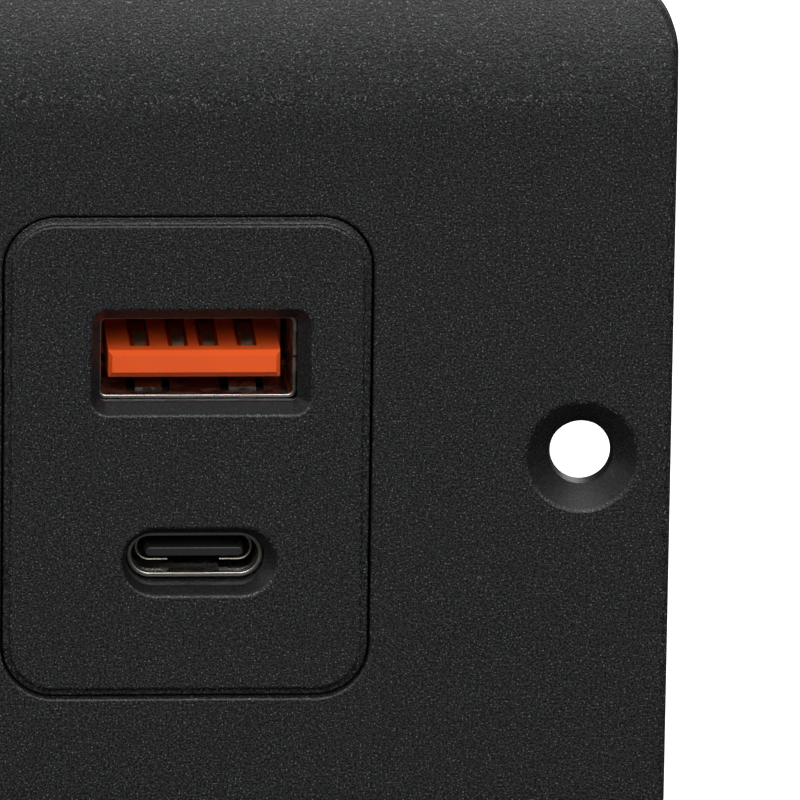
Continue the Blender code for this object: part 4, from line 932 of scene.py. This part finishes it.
def make_a_shell():
    low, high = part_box("usb_a_shell")
    size = (high.x - low.x, high.z - low.z)
    inside = (size[0] - 2 * SHEET, size[1] - 2 * SHEET)
    outer = lambda grow: rounded(size, A_CORNER + SHEET, grow)
    inner = lambda grow: rounded(inside, A_CORNER, grow)
    shell = sheet_shell("usb_a_shell_detail", outer, inner, low.y, high.y, A_PLACE)
    seam_low = (high.x - 1.5 * SHEET, low.y - SHEET, A_PLACE[1] - SEAM_WIDTH / 2)
    cut(shell, block("seam", seam_low, (high.x + SHEET, high.y + SHEET, seam_low[2] + SEAM_WIDTH)))
    start = low.y + FINGER_START
    end = low.y + FINGER_END
    for side in (-1, 1):
        wall = A_PLACE[1] + side * (size[1] - SHEET) / 2
        rest = wall - FINGER_SHEET / 2
        lift = -side * FINGER_BOW
        for x in (A_PLACE[0] - FINGER_PLACE, A_PLACE[0] + FINGER_PLACE):
            reach = FINGER_WIDTH / 2 + FINGER_SLOT
            cut(shell, block("window", (x - reach, start, wall - SHEET), (x + reach, end, wall + SHEET)))
            bow = [(start + FINGER_SLOT, rest + 0.45 * lift), (start + 3 * FINGER_SLOT, rest + lift)]
            bow += [(end - 2.5 * FINGER_SLOT, rest + 0.5 * lift), (end - FINGER_SLOT / 2, rest)]
            bow.append((end + SHEET, rest))
            half = FINGER_WIDTH / 2
            line = smooth_line(bow)
            profile = line + [(y, z + FINGER_SHEET) for y, z in reversed(line)]
            add(shell, profile_slab("finger", profile, x - half, x + half))
    finished(shell, PLATED_STEEL, "plated_steel", "usb_a_shell")


def make_a_tongue():
    low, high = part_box("usb_a_tongue")
    contacts = [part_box(f"usb_a_contact_{number}") for number in range(1, 5)]
    middle = (contacts[0][0].x + contacts[3][1].x) / 2
    floor = A_PLACE[1] - A_INNER[1] / 2 + A_TONGUE_LIFT
    half = A_TONGUE[0] / 2
    thick = A_TONGUE[1]
    sections = []
    depths = [(1.0, 0.0), (0.82, 0.03), (0.62, 0.3), (0.3, 0.72), (0.1, 0.95), (0.0, 1.15)]
    for inset, depth in depths:
        bottom, top, side = (inset * c for c in A_CHAMFER)
        centre = (bottom - top) / 2
        size = (2 * (half - side), thick - bottom - top)
        outline = [(x, z + thick / 2 + centre) for x, z in rounded(size, TONGUE_EASE, 0.0, 4)]
        sections.append((outline, low.y + depth * A_CHAMFER_DEPTH))
    full = [(x, z + thick / 2) for x, z in rounded((A_TONGUE[0], thick), TONGUE_EASE, 0.0, 4)]
    sections.append((full, low.y + A_TONGUE_LENGTH + SHEET))
    tongue = lofted("usb_a_tongue_detail", sections, (middle, floor))
    root_size = (high.x - low.x, high.z - low.z)
    root = rounded(root_size, A_CORNER)
    root_front = low.y + A_TONGUE_LENGTH
    add(tongue, lofted("root", [(root, root_front), (root, high.y)], A_PLACE))
    slot_floor = floor + thick - A_SLOT_DEPTH
    for number, (contact_low, contact_high) in enumerate(contacts, 1):
        x = (contact_low.x + contact_high.x) / 2
        start = contact_low.y - PANEL_GAP
        wide = A_SLOT_WIDTH / 2
        slot_top = slot_floor + 2 * A_SLOT_DEPTH
        slot = block("contact_slot", (x - wide, start, slot_floor), (x + wide, 2 * high.y, slot_top))
        cut(tongue, soften(slot, SLOT_END_EASE, 3))
    finished(tongue, ORANGE_PLASTIC, "orange_plastic", "usb_a_tongue")
    for number, (contact_low, contact_high) in enumerate(contacts, 1):
        y = contact_low.y
        z = slot_floor
        points = [(y + depth * mm, z + lift * mm) for depth, lift in CONTACT_BOW]
        points += [((points[-1][0] + contact_high.y) / 2, points[-1][1]), (contact_high.y, points[-1][1])]
        strip = bowed_strip(
            f"usb_a_contact_detail_{number}", points, CONTACT_SHEET, contact_low.x, contact_high.x
        )
        finished(strip, GOLD_PLATING, "brass", f"usb_a_contact_{number}")


def make_c_socket():
    low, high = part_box("usb_c_shell")
    size = (high.x - low.x, high.z - low.z)
    inside = (size[0] - 2 * SHEET, size[1] - 2 * SHEET)
    outer = lambda grow: stadium(size, grow)
    inner = lambda grow: stadium(inside, grow)
    shell = sheet_shell("usb_c_shell_detail", outer, inner, low.y, high.y, C_PLACE)
    finished(shell, PLATED_STEEL, "plated_steel", "usb_c_shell")
    ring_low, ring_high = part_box("usb_c_ground_plate")
    ring_size = (ring_high.x - ring_low.x, ring_high.z - ring_low.z)
    bore = (ring_size[0] - 2 * GROUND_SHEET, ring_size[1] - 2 * GROUND_SHEET)
    ease = GROUND_SHEET / 3
    sections = [(stadium(ring_size), ring_high.y), (stadium(ring_size), ring_low.y + ease)]
    sections += [(stadium(ring_size, -ease), ring_low.y), (stadium(bore, ease), ring_low.y)]
    sections += [(stadium(bore), ring_low.y + ease), (stadium(bore), ring_high.y)]
    collar = lofted("usb_c_ground_detail", sections, C_PLACE, ring=True)
    half = GROUND_NOTCH[0] / 2
    notch_low = (C_PLACE[0] - half, ring_low.y - ease, ring_low.z - ease)
    notch_high = (C_PLACE[0] + half, ring_low.y + GROUND_NOTCH[1], ring_high.z + ease)
    cut(collar, block("notch", notch_low, notch_high))
    finished(collar, PLATED_STEEL, "plated_steel", "usb_c_ground_plate")
    tip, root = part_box("usb_c_tongue")
    ease = C_TONGUE[1] / 4
    outlines = [(-ease, 0.0), (-0.5 * ease, 0.2 * ease), (0.0, ease), (0.0, C_TONGUE_LENGTH + ease)]
    sections = [(rounded(C_TONGUE, 2 * ease, grow, 6), tip.y + depth) for grow, depth in outlines]
    tongue = lofted("usb_c_tongue_detail", sections, C_PLACE)
    thicker = rounded((C_TONGUE[0], C_ROOT_HEIGHT), 2 * ease, 0.0, 6)
    add(tongue, lofted("root", [(thicker, tip.y + C_TONGUE_LENGTH), (thicker, root.y - ease)], C_PLACE))
    base = stadium((root.x - tip.x, root.z - tip.z))
    add(tongue, lofted("base", [(base, root.y - C_BASE), (base, root.y)], C_PLACE))
    for side in (-1, 1):
        for i in range(C_PADS):
            x = C_PLACE[0] + (i - (C_PADS - 1) / 2) * C_PAD_PITCH
            surface = C_PLACE[1] + side * C_TONGUE[1] / 2
            corner = (x - C_PAD_PITCH / 4, tip.y + 3 * ease, surface - C_PAD_PITCH / 16)
            far = (x + C_PAD_PITCH / 4, tip.y + C_TONGUE_LENGTH - ease, surface + C_PAD_PITCH / 16)
            cut(tongue, block("pad_groove", corner, far))
    finished(tongue, DARK_PLASTIC, "dark_plastic", "usb_c_tongue")


# Shutter springs


def make_spring(number):
    """A compression coil with closed ends, squashed by its shutter towards the insert's side wall."""
    node = f"shutter_spring_{number}"
    low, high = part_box(node)
    middle = (low + high) / 2
    radius = (high.z - low.z) / 2 - SPRING_WIRE
    start = low.x + SPRING_WIRE
    length = high.x - low.x - 2 * SPRING_WIRE
    shape = bmesh.new()
    count = SPRING_TURNS * SPRING_STEPS
    rows = []
    for i in range(count + 1):
        share = i / count
        closed = sin(2 * pi * share) / (2 * pi)
        turn = 2 * pi * i / SPRING_STEPS
        centre = Vector((start + length * (share - 0.8 * closed), 0.0, 0.0))
        spoke = Vector((0.0, cos(turn), sin(turn)))
        centre += spoke * radius
        row = []
        for k in range(SPRING_SIDES):
            angle = 2 * pi * k / SPRING_SIDES
            offset = spoke * cos(angle) * SPRING_WIRE + Vector((sin(angle) * SPRING_WIRE, 0.0, 0.0))
            row.append(shape.verts.new(centre + offset + Vector((0.0, middle.y, middle.z))))
        rows.append(row)
    for near, far in zip(rows, rows[1:]):
        for k in range(SPRING_SIDES):
            j = (k + 1) % SPRING_SIDES
            shape.faces.new((near[k], near[j], far[j], far[k]))
    shape.faces.new(rows[0])
    shape.faces.new(rows[-1])
    spring = from_shape(node + "_detail", shape)
    finished(spring, PLATED_STEEL, "plated_steel", node)
    applied(spring)
    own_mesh(spring)


# Rear housing, screws and cord inlet


def make_housing():
    size = (housing_high.x - housing_low.x, housing_high.z - housing_low.z)
    back = housing_high.y
    steps = [(-HOUSING_EASE / 3, housing_low.y), (0.0, housing_low.y + HOUSING_EASE / 3)]
    for inset, depth in reversed(eased_edge(HOUSING_EASE, 0.0)):
        steps.append((-inset, back - depth))
    sections = [(rounded(size, HOUSING_CORNER, grow), depth) for grow, depth in steps]
    middle = ((housing_high.x + housing_low.x) / 2, 0.0)
    housing = lofted("rear_housing_detail", sections, middle)
    inside = [s - 2 * HOUSING_WALL for s in size]
    hollow = rounded(inside, HOUSING_CORNER - HOUSING_WALL / 2)
    sections = [(hollow, -HOUSING_WALL), (hollow, back - HOUSING_WALL - HOUSING_EASE)]
    sections.append((rounded(inside, HOUSING_CORNER, -HOUSING_EASE), back - HOUSING_WALL))
    cut(housing, lofted("inside", sections, middle))
    screw_low, screw_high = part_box("housing_screw_1")
    seat = screw_high.y - HEAD_HEIGHT
    head = (screw_high.x - screw_low.x) / 2 + PANEL_GAP
    column = BOSS_OFFSET - insert_size("usb_insert")[1] / 2 - 2 * PANEL_GAP
    front = plate_high.y + 2 * PANEL_GAP
    for place in boss_places():
        add(housing, rod("column", column, front, back - HOUSING_WALL / 2, place))
    shank = SHANK_RADIUS + PANEL_GAP
    flare = head + HOUSING_EASE / 2
    way = [(shank, 0.0), (shank, seat - PANEL_GAP), (head, seat - PANEL_GAP)]
    way += [(head, back - HOUSING_EASE / 3), (flare, back + HAIR), (flare, 2 * back)]
    for place in boss_places():
        cut(housing, turned("screw_way", way, place))
    cut(housing, rod("gland_hole", GLAND_RADIUS + PANEL_GAP, back / 2, 2 * back, middle_of("cord_gland")))
    finished(housing, HOUSING_PLASTIC, "housing_plastic", "rear_housing")


def thread_outline(core, crest, turn, facets):
    """A cut across a thread: its crest runs once round as the depth moves by one pitch."""
    outline = []
    for i in range(facets):
        share = (i / facets - turn) % 1.0
        ridge = max(0.0, 1.0 - abs(2 * share - 1) * 1.8)
        radius = core + (crest - core) * ridge
        outline.append((radius * cos(2 * pi * i / facets), radius * sin(2 * pi * i / facets)))
    return outline


def make_screw(node):
    """A pan head tapping screw: cut point, real helical thread, domed head and a cross drive."""
    low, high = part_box(node)
    head = (high.x - low.x) / 2
    scale = head / HEAD_RADIUS
    crest = SHANK_RADIUS * scale
    core = THREAD_CORE * crest
    seat = high.y - HEAD_HEIGHT * scale
    pitch = THREAD_PITCH * 2 * crest
    tip = 1.6 * crest
    run = seat - low.y - 0.12 * tip
    steps = int(run / pitch * THREAD_STEPS)
    sections = [(circle(0.3 * core, THREAD_FACETS), low.y)]
    for i in range(1, steps + 1):
        depth = run * i / steps
        taper = min(1.0, 0.35 + 0.65 * depth / tip)
        ridge = (crest - core) * min(taper, max(0.0, (run - depth) / pitch))
        outline = thread_outline(core * taper, core * taper + ridge, depth / pitch, THREAD_FACETS)
        sections.append((outline, low.y + depth))
    sections.append((circle(core, THREAD_FACETS), seat + 0.02 * head))
    place = middle_of(node)
    screw = lofted(node + "_detail", sections, place)
    tall = high.y - seat
    dome = [(0.94 * head, seat), (head, seat + 0.06 * tall), (head, seat + 0.36 * tall)]
    for angle in (0.35, 0.6, 0.85, 1.1, 1.3):
        dome.append((head * cos(angle) ** 0.5, seat + tall * (0.36 + 0.62 * sin(angle))))
    add(screw, turned("head", [*dome, (0.28 * head, high.y)], place, ROUND_FACETS))
    for arm in ((DRIVE_REACH, DRIVE_WIDTH), (DRIVE_WIDTH, DRIVE_REACH)):
        drive = []
        for share, depth in ((0.55, seat + 0.25 * tall), (1.0, high.y + HAIR), (1.0, 2 * high.y)):
            size = [2 * side * head * max(share, DRIVE_WIDTH / side) for side in arm]
            drive.append((rounded(size, 0.06 * head, 0.0, 4), depth))
        cut(screw, lofted("drive", drive, place))
    finished(screw, SCREW_STEEL, "screw_steel", node)


def fluted(radius, depth):
    """A circle with shallow grip flutes round it."""
    outline = []
    for i in range(2 * TURN_FACETS):
        angle = pi * i / TURN_FACETS
        here = radius - depth * max(0.0, cos(GLAND_FLUTES * angle)) ** 2
        outline.append((here * cos(angle), here * sin(angle)))
    return outline


def make_gland():
    low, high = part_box("cord_gland")
    place = middle_of("cord_gland")
    flange = (high.x - low.x) / 2
    seat = housing_high.y + 2 * PANEL_GAP
    ease = GLAND_EASE
    bore = GLAND_BORE
    end = high.y
    grip = [(flange, seat), (flange, end - 1.4 * ease), (flange - 0.25 * ease, end - 0.6 * ease)]
    grip += [(flange - 0.8 * ease, end - 0.1 * ease), (flange - 1.4 * ease, end), (bore + 2.4 * ease, end)]
    grip += [(bore + 1.2 * ease, end - 0.2 * ease), (bore + 0.4 * ease, end - 0.8 * ease)]
    grip += [(bore, seat - ease), (bore, low.y + ease), (bore + 0.5 * ease, low.y)]
    grip.append((GLAND_RADIUS - 0.5 * ease, low.y))
    thread = []
    depth = low.y + ease
    while depth < seat - 2 * ease:
        thread += [(GLAND_RADIUS - 0.7 * ease, depth), (GLAND_RADIUS, depth + 0.5 * ease)]
        depth += ease
    grip += [*thread, (GLAND_RADIUS, seat - ease), (GLAND_RADIUS, seat)]
    sections = []
    for radius, depth in grip:
        outer = radius > 0.9 * flange and depth > seat
        sections.append((fluted(radius, GLAND_FLUTE if outer else 0.0), depth))
    gland = lofted("cord_gland_detail", sections, place, ring=True)
    finished(gland, HOUSING_PLASTIC, "housing_plastic", "cord_gland")
    nut_low, nut_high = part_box("gland_nut")
    across = (nut_high.z - nut_low.z) / 2
    corner = across / cos(pi / 6)
    hexagon = [(corner * cos(pi * i / 3), corner * sin(pi * i / 3)) for i in range(6)]
    if nut_high.z - nut_low.z > nut_high.x - nut_low.x:
        hexagon = [(z, x) for x, z in hexagon]
    nut = lofted("gland_nut_detail", [(hexagon, nut_low.y), (hexagon, nut_high.y)], place)
    cut(nut, rod("nut_bore", GLAND_RADIUS + PANEL_GAP, 0.0, 2 * nut_high.y, place))
    finished(soften(nut, NUT_EASE, 3), HOUSING_PLASTIC, "housing_plastic", "gland_nut")


# Pieces kept from the CAD model

KEPT_FINISHES = (
    (GREY_PLASTIC, "contact_carrier", "safety_shutter_1", "safety_shutter_2", "usb_case"),
    (SHEET_PLASTIC, "bar_insulator"),
    (DARK_PLASTIC, "controller_chip", "fuse"),
    (BRASS, "live_bar", "neutral_bar", "earth_bar"),
    (CAN_SLEEVE, "input_capacitor", "output_capacitor"),
    (LIVE_SLEEVE, "live_lead"),
    (NEUTRAL_SLEEVE, "neutral_lead"),
    (FERRITE, "transformer_core"),
    (WINDING_TAPE, "transformer_winding"),
    (BOARD_LACQUER, "usb_board"),
)


def dress_kept_pieces():
    for material, *nodes in KEPT_FINISHES:
        for node in nodes:
            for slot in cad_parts[node].material_slots:
                slot.link = "OBJECT"
                slot.material = material


# Studio


def make_floor():
    """A large pale floor just under the faceplate's lower edge."""
    shape = bmesh.new()
    half = FLOOR_SIZE / 2
    for corner in ((-half, -half), (half, -half), (half, half), (-half, half)):
        shape.verts.new((corner[0], corner[1], plate_low.z - HAIR))
    shape.faces.new(shape.verts)
    floor = from_shape("studio_floor", shape)
    material, tree, shader = new_material("pale_floor", 0.9, specular=0.1)
    drift = noise(tree, place_in_object(tree), 120 * mm, 2.0)
    link(tree, mixed(tree, drift, (0.9, 0.9, 0.9), (0.93, 0.93, 0.93)), shader.inputs["Base Color"])
    shader.inputs["Emission Color"].default_value = (1.0, 1.0, 1.0, 1.0)
    shader.inputs["Emission Strength"].default_value = FLOOR_GLOW
    floor.data.materials.append(material)
    floor.visible_diffuse = False
    floor.visible_glossy = False


def add_light(name, place, target, size, watts):
    data = bpy.data.lights.new(name, "AREA")
    data.shape = "RECTANGLE"
    data.size, data.size_y = size
    data.energy = watts
    lamp = bpy.data.objects.new(name, data)
    lamp.location = place
    lamp.rotation_euler = (Vector(target) - Vector(place)).to_track_quat("-Z", "Y").to_euler()
    bpy.context.scene.collection.objects.link(lamp)


def make_world():
    world = bpy.data.worlds.new("studio")
    bpy.context.scene.world = world
    world.use_nodes = True
    tree = world.node_tree
    surround = tree.nodes["Background"]
    where = tree.nodes.new("ShaderNodeSeparateXYZ")
    link(tree, tree.nodes.new("ShaderNodeTexCoord").outputs["Generated"], where.inputs[0])
    sky = band(tree, where.outputs["Z"], -0.2, 0.5)
    link(tree, mixed(tree, sky, (UNDER_LIGHT,) * 3, (1.0, 1.0, 1.0)), surround.inputs["Color"])
    surround.inputs["Strength"].default_value = WORLD_STRENGTH


def make_camera():
    data = bpy.data.cameras.new("camera")
    data.lens = CAMERA_LENS
    data.sensor_width = 36.0
    data.clip_start = 10 * mm
    data.clip_end = 20.0
    camera = bpy.data.objects.new("camera", data)
    bpy.context.scene.collection.objects.link(camera)
    bpy.context.scene.camera = camera
    azimuth, elevation = CAMERA_AZIMUTH, CAMERA_ELEVATION
    back = Vector((sin(azimuth) * cos(elevation), -cos(azimuth) * cos(elevation), sin(elevation)))
    across = Vector((cos(azimuth), sin(azimuth), 0.0))
    up = back.cross(across).normalized()
    right = across * cos(CAMERA_ROLL) + up * sin(CAMERA_ROLL)
    above = up * cos(CAMERA_ROLL) - across * sin(CAMERA_ROLL)
    aim = Vector((USB_PLACE + CAMERA_AIM[0], PLATE_FRONT, CAMERA_AIM[1]))
    turn = Matrix((right, above, back)).transposed().to_4x4()
    camera.matrix_world = Matrix.Translation(aim + back * CAMERA_DISTANCE) @ turn


make_faceplate()
make_usb_insert()
make_a_shell()
make_a_tongue()
make_c_socket()
for number in (1, 2):
    make_outlet_insert(number)
    make_spring(number)
make_housing()
for node in sorted(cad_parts):
    if "_screw_" in node:
        make_screw(node)
make_gland()
dress_kept_pieces()
make_floor()
aim = (0.0, 0.0, 0.0)  # the faceplate's middle
add_light("key_light", KEY_PLACE, aim, (1.2, 0.9), KEY_WATTS)
add_light("left_light", SIDE_PLACE, aim, (0.8, 0.8), SIDE_WATTS)
add_light("back_light", BACK_PLACE, aim, (0.9, 0.9), BACK_WATTS)
make_world()
make_camera()
bpy.context.scene.view_settings.view_transform = "Standard"
bpy.context.view_layer.update()
